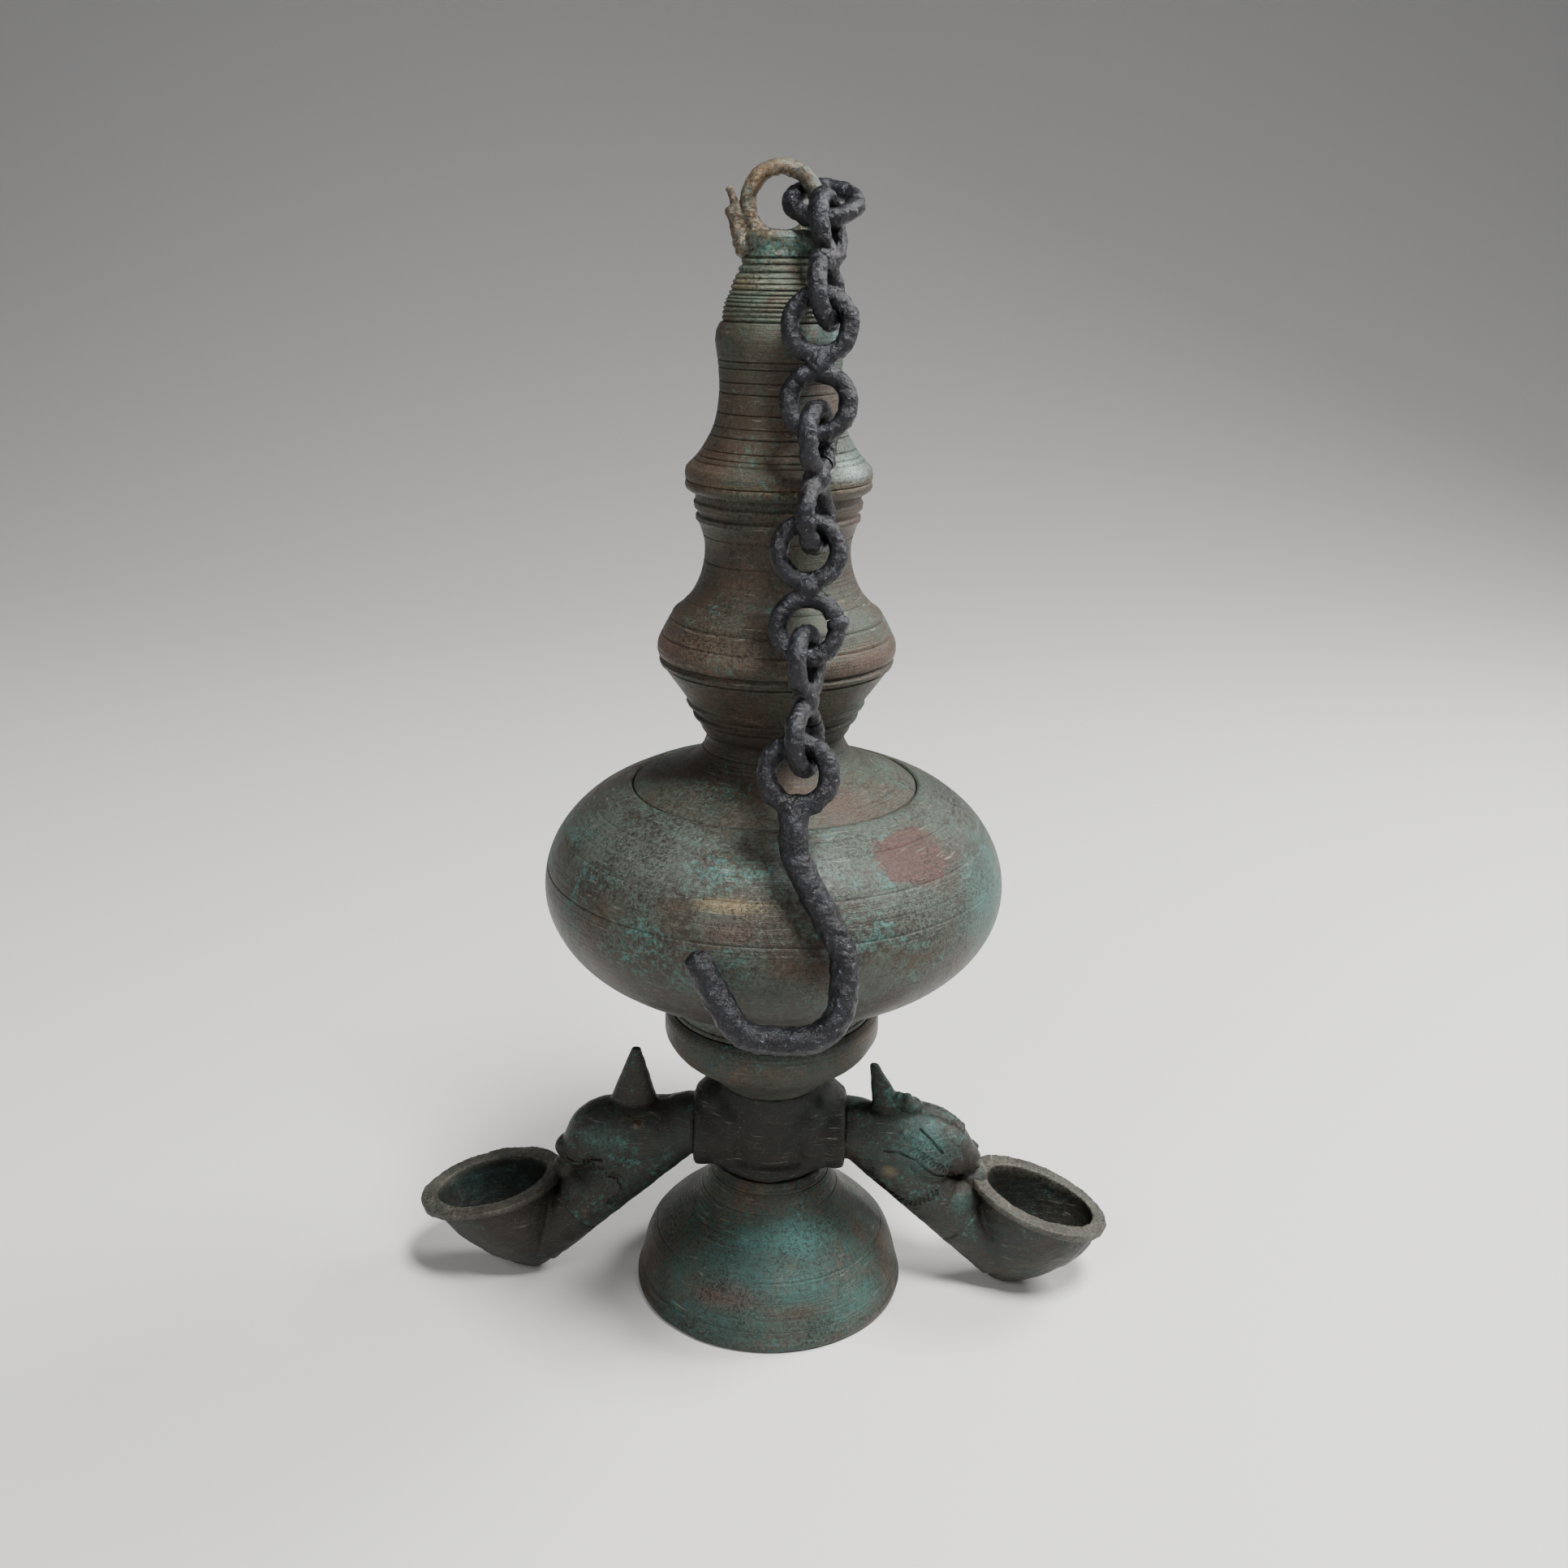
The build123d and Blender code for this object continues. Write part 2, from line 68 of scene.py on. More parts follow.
def settle(piece):
    """Puts the piece's place into its mesh."""
    only(piece)
    bpy.ops.object.transform_apply(location=True, rotation=True, scale=True)
    return piece


def smooth_run(points, steps=6):
    """More points along a smooth curve through the given ones."""
    run = []
    last = len(points) - 1
    for i in range(last):
        p0, p1 = points[max(i - 1, 0)], points[i]
        p2, p3 = points[i + 1], points[min(i + 2, last)]
        for step in range(steps):
            t = step / steps
            run.append(tuple(
                0.5 * (2 * b + (c - a) * t + (2 * a - 5 * b + 4 * c - d) * t ** 2
                       + (3 * b - a - 3 * c + d) * t ** 3)
                for a, b, c, d in zip(p0, p1, p2, p3)
            ))
    return run + [points[-1]]


def scored(run, heights, depth, half=0.32):
    """A rising run of an outline, with V grooves cut in at the given heights. half is half
    a groove's width."""
    cuts = []
    for (r0, z0), (r1, z1) in zip(run[:-1], run[1:]):
        length = sqrt((r1 - r0) ** 2 + (z1 - z0) ** 2)
        for height in heights:
            for step in (-half, 0, half):
                level = height + step
                if z0 <= level < z1:
                    radius = r0 + (r1 - r0) * (level - z0) / (z1 - z0)
                    sink = depth if step == 0 else 0
                    inward, upward = sink * (z1 - z0) / length, sink * (r1 - r0) / length
                    cuts.append((level, radius - inward, level + upward))
    cuts += [(z, r, z) for r, z in run if all(abs(z - height) > half for height in heights)]
    return [(r, z) for _, r, z in sorted(cuts)]


def turned(name, outline, around=160):
    """A lathe piece: a circle is drawn out along an outline of (radius, height), and closed."""
    clear_selection()
    first_radius, first_height = outline[0]
    bpy.ops.mesh.primitive_circle_add(
        vertices=around, radius=first_radius * MM, location=(0, 0, first_height * MM)
    )
    piece = bpy.context.object
    piece.name = name
    settle(piece)
    bpy.ops.object.mode_set(mode="EDIT")
    bpy.ops.mesh.select_all(action="SELECT")
    for (radius, height), (next_radius, next_height) in zip(outline[:-1], outline[1:]):
        bpy.ops.mesh.extrude_region_move(
            TRANSFORM_OT_translate={"value": (0, 0, (next_height - height) * MM)}
        )
        widen = next_radius / radius
        bpy.ops.transform.resize(
            value=(widen, widen, 1), center_override=(0, 0, next_height * MM)
        )
    bpy.ops.mesh.select_all(action="SELECT")
    bpy.ops.mesh.region_to_loop()
    bpy.ops.mesh.bridge_edge_loops()
    bpy.ops.mesh.select_all(action="SELECT")
    bpy.ops.mesh.normals_make_consistent(inside=False)
    bpy.ops.object.mode_set(mode="OBJECT")
    return piece


def uneven(piece, depth, grain, name="hand_work"):
    """The slight waviness of cast or hammered metal, as a shape."""
    only(piece)
    texture = bpy.data.textures.new(name, "CLOUDS")
    texture.noise_scale = grain * MM
    texture.noise_depth = 2
    waves = piece.modifiers.new("waves", "DISPLACE")
    waves.texture = texture
    waves.texture_coords = "LOCAL"
    waves.strength = depth * MM
    waves.mid_level = 0.45
    bpy.ops.object.modifier_apply(modifier="waves")
    return piece


def soft_edges(piece, angle=35):
    only(piece)
    bpy.ops.object.shade_smooth_by_angle(angle=radians(angle))
    return piece


def new_group(name, inputs, outputs):
    group = bpy.data.node_groups.new(name, "ShaderNodeTree")
    for label, kind, value in inputs:
        socket = group.interface.new_socket(label, in_out="INPUT", socket_type=kind)
        if value is not None:
            socket.default_value = value
    for label, kind in outputs:
        group.interface.new_socket(label, in_out="OUTPUT", socket_type=kind)
    return group, group.nodes.new("NodeGroupInput"), group.nodes.new("NodeGroupOutput")


def noise(tree, place, scale, detail=5, rough=0.6, distortion=0.0):
    node = tree.nodes.new("ShaderNodeTexNoise")
    node.inputs["Scale"].default_value = scale
    node.inputs["Detail"].default_value = detail
    node.inputs["Roughness"].default_value = rough
    node.inputs["Distortion"].default_value = distortion
    tree.links.new(place, node.inputs["Vector"])
    return node.outputs["Fac"]


def ramp(tree, value, low, high):
    """Nothing below low, all above high."""
    node = tree.nodes.new("ShaderNodeMapRange")
    node.inputs["From Min"].default_value = low
    node.inputs["From Max"].default_value = high
    tree.links.new(value, node.inputs["Value"])
    return node.outputs["Result"]


def maths(tree, action, first, second):
    node = tree.nodes.new("ShaderNodeMath")
    node.operation = action
    for socket, value in zip(node.inputs, (first, second)):
        if isinstance(value, (int, float)):
            socket.default_value = value
        else:
            tree.links.new(value, socket)
    return node.outputs[0]


def blend_colour(tree, amount, first, second):
    node = tree.nodes.new("ShaderNodeMix")
    node.data_type = "RGBA"
    for socket, value in ((node.inputs[0], amount), (node.inputs[6], first), (node.inputs[7], second)):
        if isinstance(value, (tuple, float, int)):
            socket.default_value = value
        else:
            tree.links.new(value, socket)
    return node.outputs[2]


def stretched(tree, place, stretch, shift=(0, 0, 0)):
    node = tree.nodes.new("ShaderNodeMapping")
    node.inputs["Scale"].default_value = stretch
    node.inputs["Location"].default_value = shift
    tree.links.new(place, node.inputs["Vector"])
    return node.outputs["Vector"]


def centred(tree, value):
    return maths(tree, "SUBTRACT", value, 0.5)


def cover_mask(tree, cloud, grain, cover, rag, low, high):
    """Where a ragged cloud rises over what is left bare."""
    ragged = maths(tree, "ADD", cloud, maths(tree, "MULTIPLY", centred(tree, grain), rag))
    bare = maths(tree, "SUBTRACT", 1.0, cover)
    return ramp(tree, maths(tree, "SUBTRACT", ragged, bare), low, high)


def make_patina_group():
    """Old bronze: brown metal under green and teal corrosion, with earthy patches."""
    tree, given, result = new_group(
        "patina",
        [
            ("Place", "NodeSocketVector", None),
            ("Metal", "NodeSocketColor", (0.06, 0.042, 0.026, 1)),
            ("Green", "NodeSocketColor", (0.05, 0.085, 0.065, 1)),
            ("Teal", "NodeSocketColor", (0.07, 0.2, 0.19, 1)),
            ("Earth", "NodeSocketColor", (0.12, 0.045, 0.03, 1)),
            ("Green Cover", "NodeSocketFloat", 0.5),
            ("Teal Cover", "NodeSocketFloat", 0.5),
            ("Earth Cover", "NodeSocketFloat", 0.5),
        ],
        [("Colour", "NodeSocketColor"), ("Crust", "NodeSocketFloat")],
    )
    place = given.outputs["Place"]
    grain = noise(tree, place, 620, 5, 0.8)
    broad = noise(tree, place, 34, 6, 0.66, 0.4)
    cloud = noise(tree, stretched(tree, place, (1, 1, 1.3), (0.31, 0.17, 0.05)), 52, 7, 0.72, 0.5)
    soil = noise(tree, stretched(tree, place, (1, 1, 1.6), (0.07, 0.53, 0.29)), 44, 7, 0.72, 0.6)
    green_mask = cover_mask(tree, broad, grain, given.outputs["Green Cover"], 0.9, -0.06, 0.1)
    teal_mask = cover_mask(tree, cloud, grain, given.outputs["Teal Cover"], 0.9, -0.02, 0.13)
    earth_mask = cover_mask(tree, soil, grain, given.outputs["Earth Cover"], 0.8, -0.03, 0.09)
    colour = blend_colour(tree, green_mask, given.outputs["Metal"], given.outputs["Green"])
    colour = blend_colour(tree, maths(tree, "MULTIPLY", earth_mask, 0.8), colour, given.outputs["Earth"])
    colour = blend_colour(tree, maths(tree, "MULTIPLY", teal_mask, 0.75), colour, given.outputs["Teal"])
    tree.links.new(colour, result.inputs["Colour"])
    tree.links.new(maths(tree, "MAXIMUM", green_mask, teal_mask), result.inputs["Crust"])
    return tree


def make_speckle_group():
    """Pits, pale crumbs and fine level scratches."""
    tree, given, result = new_group(
        "speckle",
        [("Place", "NodeSocketVector", None)],
        [("Dark", "NodeSocketFloat"), ("Pale", "NodeSocketFloat"), ("Height", "NodeSocketFloat")],
    )
    place = given.outputs["Place"]
    grain = noise(tree, place, 1100, 4, 0.8)
    fine = noise(tree, place, 2600, 2, 0.7)
    crumbs = noise(tree, stretched(tree, place, (1, 1, 1), (0.4, 0.1, 0.7)), 1500, 3, 0.8)
    scratches = noise(tree, stretched(tree, place, (0.08, 0.08, 1), (0.2, 0.9, 0.3)), 1700, 3, 0.7)
    worn = ramp(tree, noise(tree, place, 40, 4, 0.7), 0.42, 0.62)
    patchy = ramp(tree, noise(tree, place, 55, 4, 0.7, 0.4), 0.36, 0.66)
    pits = maths(tree, "SUBTRACT", 1.0, ramp(tree, grain, 0.38, 0.56))
    tree.links.new(maths(tree, "MULTIPLY", pits, maths(tree, "ADD", 0.45, patchy)), result.inputs["Dark"])
    scraped = maths(tree, "MULTIPLY", ramp(tree, scratches, 0.6, 0.72), worn)
    pale = maths(tree, "MAXIMUM", ramp(tree, crumbs, 0.63, 0.74), scraped)
    tree.links.new(pale, result.inputs["Pale"])
    height = maths(tree, "ADD", maths(tree, "MULTIPLY", grain, 0.6), maths(tree, "MULTIPLY", fine, 0.3))
    height = maths(tree, "ADD", height, maths(tree, "MULTIPLY", scratches, 0.25))
    tree.links.new(height, result.inputs["Height"])
    return tree


def make_stain_shade_and_highlight_group():
    """A ragged patch about a point: 1 inside, 0 outside. It masks stains, and also painted shade and
    painted highlights.
    """
    tree, given, result = new_group(
        "stain_shade_and_highlight",
        [
            ("Place", "NodeSocketVector", None),
            ("Centre", "NodeSocketVector", None),
            ("Size", "NodeSocketVector", (0.01, 0.01, 0.01)),
            ("Softness", "NodeSocketFloat", 0.2),
            ("Lean", "NodeSocketFloat", 0.0),
        ],
        [("Mask", "NodeSocketFloat")],
    )
    away = tree.nodes.new("ShaderNodeVectorMath")
    away.operation = "SUBTRACT"
    tree.links.new(given.outputs["Place"], away.inputs[0])
    tree.links.new(given.outputs["Centre"], away.inputs[1])
    scaled = tree.nodes.new("ShaderNodeVectorMath")
    scaled.operation = "DIVIDE"
    leant = tree.nodes.new("ShaderNodeVectorRotate")
    leant.rotation_type = "Y_AXIS"
    tree.links.new(away.outputs[0], leant.inputs["Vector"])
    tree.links.new(given.outputs["Lean"], leant.inputs["Angle"])
    tree.links.new(leant.outputs["Vector"], scaled.inputs[0])
    tree.links.new(given.outputs["Size"], scaled.inputs[1])
    length = tree.nodes.new("ShaderNodeVectorMath")
    length.operation = "LENGTH"
    tree.links.new(scaled.outputs[0], length.inputs[0])
    wander = centred(tree, noise(tree, given.outputs["Place"], 110, 5, 0.65))
    crumbs = centred(tree, noise(tree, given.outputs["Place"], 800, 3, 0.75))
    reach = maths(tree, "ADD", length.outputs["Value"], maths(tree, "MULTIPLY", wander, 1.3))
    reach = maths(tree, "ADD", reach, maths(tree, "MULTIPLY", crumbs, 0.7))
    inside = maths(tree, "SUBTRACT", 1.0, reach)
    share = maths(tree, "DIVIDE", inside, given.outputs["Softness"])
    mask = tree.nodes.new("ShaderNodeClamp")
    tree.links.new(share, mask.inputs["Value"])
    tree.links.new(mask.outputs[0], result.inputs["Mask"])
    return tree


def make_turning_group():
    """Fine rings left by the lathe: a mask of dark lines and their height."""
    tree, given, result = new_group(
        "turning_lines",
        [
            ("Place", "NodeSocketVector", None),
            ("Lines", "NodeSocketFloat", 900.0),
            ("Wear", "NodeSocketFloat", 0.5),
        ],
        [("Line", "NodeSocketFloat"), ("Height", "NodeSocketFloat")],
    )
    place = given.outputs["Place"]
    split = tree.nodes.new("ShaderNodeSeparateXYZ")
    tree.links.new(place, split.inputs[0])
    up = maths(tree, "MULTIPLY", split.outputs["Z"], given.outputs["Lines"])
    wander = noise(tree, place, 45, 3, 0.6)
    up = maths(tree, "ADD", up, maths(tree, "MULTIPLY", wander, 0.35))
    lines = tree.nodes.new("ShaderNodeTexNoise")
    lines.noise_dimensions = "1D"
    lines.inputs["Scale"].default_value = 1.0
    lines.inputs["Detail"].default_value = 4
    lines.inputs["Roughness"].default_value = 0.7
    tree.links.new(up, lines.inputs["W"])
    worn = ramp(tree, noise(tree, place, 60, 4, 0.65), 0.35, 0.65)
    line = ramp(tree, lines.outputs["Fac"], 0.57, 0.68)
    kept = maths(tree, "SUBTRACT", 1.0, maths(tree, "MULTIPLY", worn, given.outputs["Wear"]))
    tree.links.new(maths(tree, "MULTIPLY", line, kept), result.inputs["Line"])
    tree.links.new(lines.outputs["Fac"], result.inputs["Height"])
    return tree


patina = make_patina_group()
speckle = make_speckle_group()
stain_shade_and_highlight = make_stain_shade_and_highlight_group()
turning = make_turning_group()

MAROON = (0.1, 0.05, 0.04, 1)
BROWN = (0.075, 0.046, 0.028, 1)
# DARK colours the pits and lathe lines, and also several painted shade patches.
DARK = (0.018, 0.015, 0.012, 1)
GREY_GREEN = (0.07, 0.09, 0.072, 1)
DEEP_GREEN = (0.035, 0.055, 0.045, 1)
TEAL = (0.055, 0.17, 0.15, 1)
OCHRE = (0.26, 0.19, 0.09, 1)
GOLD = (0.2, 0.13, 0.06, 1)
PALE = (0.36, 0.37, 0.3, 1)


def group_node(tree, group, place):
    node = tree.nodes.new("ShaderNodeGroup")
    node.node_tree = group
    tree.links.new(place, node.inputs["Place"])
    return node


def bronze(name, shift, metal, green, covers, stains_shades_and_highlights=(), lines=0.0, roughness=0.5, bump=0.9):
    """Patinated bronze. covers holds how much green, teal and earth there is; each patch in the
    list has a centre and half-widths in millimetres, a colour, a strength, a softness and a lean.
    Some patches are stains, and others are painted shade or a painted highlight."""
    material = bpy.data.materials.new(name)
    material.use_nodes = True
    tree = material.node_tree
    shader = tree.nodes["Principled BSDF"]
    where = tree.nodes.new("ShaderNodeTexCoord").outputs["Object"]
    place = stretched(tree, where, (1, 1, 1), shift)
    skin = group_node(tree, patina, place)
    skin.inputs["Metal"].default_value = metal
    skin.inputs["Green"].default_value = green
    skin.inputs["Teal"].default_value = TEAL
    skin.inputs["Earth"].default_value = BROWN
    for socket, cover in zip(("Green Cover", "Teal Cover", "Earth Cover"), covers):
        skin.inputs[socket].default_value = cover
    colour = skin.outputs["Colour"]
    # Each patch is blended into the colour: stains, and also painted shade and painted highlights.
    for centre, size, tint, strength, softness, *lean in stains_shades_and_highlights:
        spot = group_node(tree, stain_shade_and_highlight, where)
        spot.inputs["Centre"].default_value = [c * MM for c in centre]
        spot.inputs["Size"].default_value = [s * MM for s in size]
        spot.inputs["Softness"].default_value = softness
        spot.inputs["Lean"].default_value = radians(lean[0]) if lean else 0.0
        colour = blend_colour(tree, maths(tree, "MULTIPLY", spot.outputs["Mask"], strength), colour, tint)
    specks = group_node(tree, speckle, place)
    height = specks.outputs["Height"]
    if lines:
        lathe = group_node(tree, turning, where)
        lathe.inputs["Lines"].default_value = lines
        colour = blend_colour(tree, maths(tree, "MULTIPLY", lathe.outputs["Line"], 0.4), colour, DARK)
        height = maths(tree, "SUBTRACT", height, maths(tree, "MULTIPLY", lathe.outputs["Height"], 0.5))
    colour = blend_colour(tree, maths(tree, "MULTIPLY", specks.outputs["Dark"], 0.85), colour, DARK)
    colour = blend_colour(tree, maths(tree, "MULTIPLY", specks.outputs["Pale"], 0.4), colour, PALE)
    tree.links.new(colour, shader.inputs["Base Color"])
    shine = tree.nodes.new("ShaderNodeMapRange")
    shine.inputs["To Min"].default_value = roughness - 0.1
    shine.inputs["To Max"].default_value = roughness + 0.2
    mix = maths(tree, "ADD", maths(tree, "MULTIPLY", skin.outputs["Crust"], 0.5),
                maths(tree, "MULTIPLY", specks.outputs["Height"], 0.5))
    tree.links.new(mix, shine.inputs["Value"])
    tree.links.new(shine.outputs["Result"], shader.inputs["Roughness"])
    shader.inputs["Metallic"].default_value = 0.35
    shader.inputs["Specular IOR Level"].default_value = 0.35
    relief = tree.nodes.new("ShaderNodeBump")
    relief.inputs["Strength"].default_value = bump
    relief.inputs["Distance"].default_value = 0.0005
    tree.links.new(height, relief.inputs["Height"])
    tree.links.new(relief.outputs["Normal"], shader.inputs["Normal"])
    return material


def finish_piece(piece, material, body, *nodes, slot="bronze"):
    piece.data.materials.clear()
    piece.data.materials.append(material)
    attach(piece, body)
    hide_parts(*nodes)


foot_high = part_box("foot")[1]
foot_r, foot_h = foot_high.x / MM, foot_high.z / MM
foot_outline = [(foot_r - 2.2, 0.13), (foot_r - 1.3, 0.13), (foot_r - 0.5, 0.5), (foot_r - 0.1, 1.6),
                (foot_r - 0.15, 3.2), (foot_r - 0.6, 4.0)]
bell = smooth_run([(foot_r - 0.7, 4.4), (foot_r - 3.1, 14), (foot_r - 6.8, 20), (23, foot_h - 11.5),
                   (18.2, foot_h - 4), (16.6, foot_h - 0.4)], 9)
foot_outline += scored(bell, [6.5, 19.5, foot_h - 8, foot_h - 3], 0.16)
foot_outline += [(16.2, foot_h), (6.05, foot_h), (6.05, foot_h - 5.5), (12.6, foot_h - 5.5)]
foot_outline += smooth_run([(18.6, foot_h - 12), (foot_r - 11, 18), (foot_r - 4.2, 8),
                            (foot_r - 2.3, 0.4)], 6)
foot = turned("foot_bell", foot_outline)
uneven(foot, 0.5, 14)
soft_edges(foot)
foot_stains_and_shade = [
    ((0, -34, 16), (60, 34, 24), (0.04, 0.11, 0.1, 1), 0.6, 1.0),
    # Painted shade: the left side of the foot is painted dim brown, the side turned away from the key
    # light.
    ((-38, -12, 10), (16, 26, 24), (0.04, 0.026, 0.017, 1), 0.8, 1.0),
    ((8, -24, 28), (18, 14, 5), TEAL, 0.7, 1.0),
    ((26, -26, 8), (14, 14, 8), TEAL, 0.6, 1.0),
    ((-10, -33, 15), (15, 12, 5), MAROON, 0.75, 0.8),
    ((10, -36, 12), (12, 10, 3), BROWN, 0.6, 0.8),
    # Painted shade: a dark ring on top of the foot, round the hub and under the arms.
    ((0, 0, 40), (24, 24, 7), DARK, 0.9, 0.8),
]
foot_bronze = bronze("foot_bronze", (0.2, 0.1, 0.0), BROWN, DEEP_GREEN, (0.56, 0.4, 0.42), foot_stains_and_shade,
                     lines=1300, roughness=0.42)
finish_piece(foot, foot_bronze, "lamp", "foot")

# ---------------------------------------------------------------------------
# Hub: a short turned block that the foot, the arms and the collar are fixed on. It was cast
# solid and then drilled, and shoulder lumps show where the arms are let in.
# ---------------------------------------------------------------------------


def cast_copy(name, node):
    """A mesh of its own from a worked-out node, with its loose corners joined."""
    clear_selection()
    source = frame["nodes"][node]
    piece = source.copy()
    piece.data = source.data.copy()
    piece.name = name
    piece.parent = None
    bpy.context.scene.collection.objects.link(piece)
    only(piece)
    bpy.ops.object.mode_set(mode="EDIT")
    bpy.ops.mesh.select_all(action="SELECT")
    bpy.ops.mesh.remove_doubles(threshold=0.00002)
    bpy.ops.object.mode_set(mode="OBJECT")
    return piece


def join_onto(piece, *extras):
    only(piece)
    for extra in extras:
        extra.select_set(True)
    bpy.ops.object.join()
    return piece


def cast_skin(piece, grain, smoothing=2):
    """One continuous casting skin over everything that was joined."""
    only(piece)
    skin = piece.modifiers.new("skin", "REMESH")
    skin.mode = "VOXEL"
    skin.voxel_size = grain * MM
    skin.use_smooth_shade = True
    bpy.ops.object.modifier_apply(modifier="skin")
    if smoothing:
        rub = piece.modifiers.new("rub", "SMOOTH")
        rub.factor = 0.5
        rub.iterations = smoothing
        bpy.ops.object.modifier_apply(modifier="rub")
    return piece


def lump(centre, size, turn=0.0, detail=3):
    """A rounded lump of metal; size holds its three half-widths, turn leans it in the arms' plane."""
    clear_selection()
    bpy.ops.mesh.primitive_ico_sphere_add(subdivisions=detail, radius=1, location=(0, 0, 0))
    piece = bpy.context.object
    bpy.ops.object.mode_set(mode="EDIT")
    bpy.ops.mesh.select_all(action="SELECT")
    bpy.ops.transform.resize(value=[s * MM for s in size], center_override=(0, 0, 0))
    bpy.ops.object.mode_set(mode="OBJECT")
    piece.rotation_euler = (0, radians(turn), 0)
    piece.location = [c * MM for c in centre]
    return settle(piece)


def rod(start, end, radius, end_radius=None, sides=20):
    """A straight bar between two points."""
    start, end = Vector(start) * MM, Vector(end) * MM
    clear_selection()
    bpy.ops.mesh.primitive_cone_add(
        vertices=sides, radius1=radius * MM, radius2=(end_radius or radius) * MM, depth=(end - start).length
    )
    piece = bpy.context.object
    piece.rotation_euler = (end - start).to_track_quat("Z", "Y").to_euler()
    piece.location = (start + end) / 2
    settle(piece)
    bpy.ops.object.mode_set(mode="EDIT")
    bpy.ops.mesh.select_all(action="SELECT")
    bpy.ops.mesh.bevel(offset=min(radius, end_radius or radius) * 0.3 * MM, segments=2)
    bpy.ops.object.mode_set(mode="OBJECT")
    return piece


hub = cast_copy("hub_block", "hub")
shoulders = []
for side in (-1, 1):
    shoulders.append(rod((side * 9, 0, 52), (side * 22.3, 0, 52), 14.4, 10.2, 40))
    shoulders.append(lump((side * 15.5, 0, 62.5), (8.0, 9.5, 5.6), side * 24))
    shoulders.append(lump((side * 10, 0, 58), (10, 14, 9)))
    shoulders.append(lump((side * 13, -6, 46), (6, 6, 4)))
join_onto(hub, *shoulders)
cast_skin(hub, 0.6, 22)
uneven(hub, 0.9, 7)
uneven(hub, 0.35, 2.5)
# Painted shade: the hub's bronze is made nearly black for the shade it stands in under the collar and
# reservoir.
hub_bronze_painted_shade = bronze("hub_bronze_painted_shade", (0.5, 0.3, 0.2), (0.012, 0.01, 0.008, 1), (0.013, 0.018, 0.015, 1),
                     (0.5, 0.2, 0.3))
finish_piece(hub, hub_bronze_painted_shade, "lamp", "hub")

# ---------------------------------------------------------------------------
# Arms: bent tubes of cast bronze, each with a water beast's head cast round it. The spout
# comes out of the beast's mouth. Eyes, brows, mane and horn were worked in the wax.
# ---------------------------------------------------------------------------


def skin_point(piece, x, z, front):
    """Where a line along Y at (x, z) meets the piece's near (-1) or far (1) face, in millimetres."""
    hit, place, _, _ = piece.ray_cast(Vector((x, front * 60, z)) * MM, Vector((0, -front, 0)))
    return place / MM if hit else None


def top_of(piece, x, y):
    """The height of the piece's top over (x, y), in millimetres."""
    hit, place, _, _ = piece.ray_cast(Vector((x, y, 100)) * MM, Vector((0, 0, -1)))
    return place.z / MM


def along(points, share):
    """A place at a share of the way along a few points."""
    spot = share * (len(points) - 1)
    index = min(int(spot), len(points) - 2)
    first, second = Vector(points[index]), Vector(points[index + 1])
    return first.lerp(second, spot - index), (second - first).normalized()


def strokes(points, count, length, lean):
    """Short cuts across a line: pairs of (x, z) ends."""
    cuts = []
    for step in range(count):
        middle, way = along(points, step / (count - 1))
        half = length * (0.42 + 0.16 * (step % 3) / 2)
        across = Vector((way.x * cos(lean) - way.y * sin(lean), way.x * sin(lean) + way.y * cos(lean)))
        cuts.append((middle - across * half, middle + across * half))
    return cuts


def runs(points):
    """The line itself, as pairs of ends."""
    return list(zip([Vector(p) for p in points[:-1]], [Vector(p) for p in points[1:]]))


def cut_away(piece, tool):
    """Takes the tool's shape out of the piece; the tool is used up."""
    only(piece)
    cut = piece.modifiers.new("cut", "BOOLEAN")
    cut.operation = "DIFFERENCE"
    cut.solver = "MANIFOLD"
    cut.object = tool
    bpy.ops.object.modifier_apply(modifier="cut")
    bpy.data.objects.remove(tool)


def carve(piece, side, cuts, radius):
    """Chisels grooves into both faces of an arm; cuts are given for the +X side."""
    chisels = []
    for start, end in cuts:
        for front in (-1, 1):
            ends = [skin_point(piece, side * place.x, place.y, front) for place in (start, end)]
            if None not in ends:
                chisels.append(rod(ends[0], ends[1], radius, radius, 10))
    tool = join_onto(chisels[0], *chisels[1:])
    cut_away(piece, cast_skin(tool, 0.2, 0))


def beast_arm(side, name, node, nose, jaw, ribs, extras):
    """side is -1 or 1; places are given for the +X side and mirrored with side."""
    arm = cast_copy(name, node)

    def at(x, y, z):
        return (side * x, y, z)

    lumps = [
        lump(at(nose[0], 0, nose[1]), (3.8, 4.4, 3.8)),
        lump(at(62.5, 0, 36), (4.5, 4.8, 3.6), side * 40),
        lump(at(58, 0, 30), (6.5, 8.4, 7.4), side * 42),
    ]
    for step in range(ribs):
        x = 45.5 + 1.25 * step
        half = 3.6 - 0.12 * step
        ends = [at(x, y, top_of(arm, side * x, y) + 0.1) for y in (-half, half)]
        crest = at(x, 0, top_of(arm, side * x, 0) + 0.5)
        lumps += [rod(ends[0], crest, 0.75, 0.95, 12), rod(crest, ends[1], 0.95, 0.75, 12)]
    for front in (-1, 1):
        lumps.append(lump(at(46, front * 5.6, 46), (10, 4.4, 6.4), side * 44))
        lumps.append(lump(at(40, front * 8.2, 55), (1.5, 1.3, 1.5)))
    for x, y, z, size in extras:
        lumps.append(lump(at(x, y, z), size))
    join_onto(arm, *lumps)
    cast_skin(arm, 0.42, 3)
    carve(arm, side, jaw, 0.55)
    uneven(arm, 0.45, 3.5)
    return arm


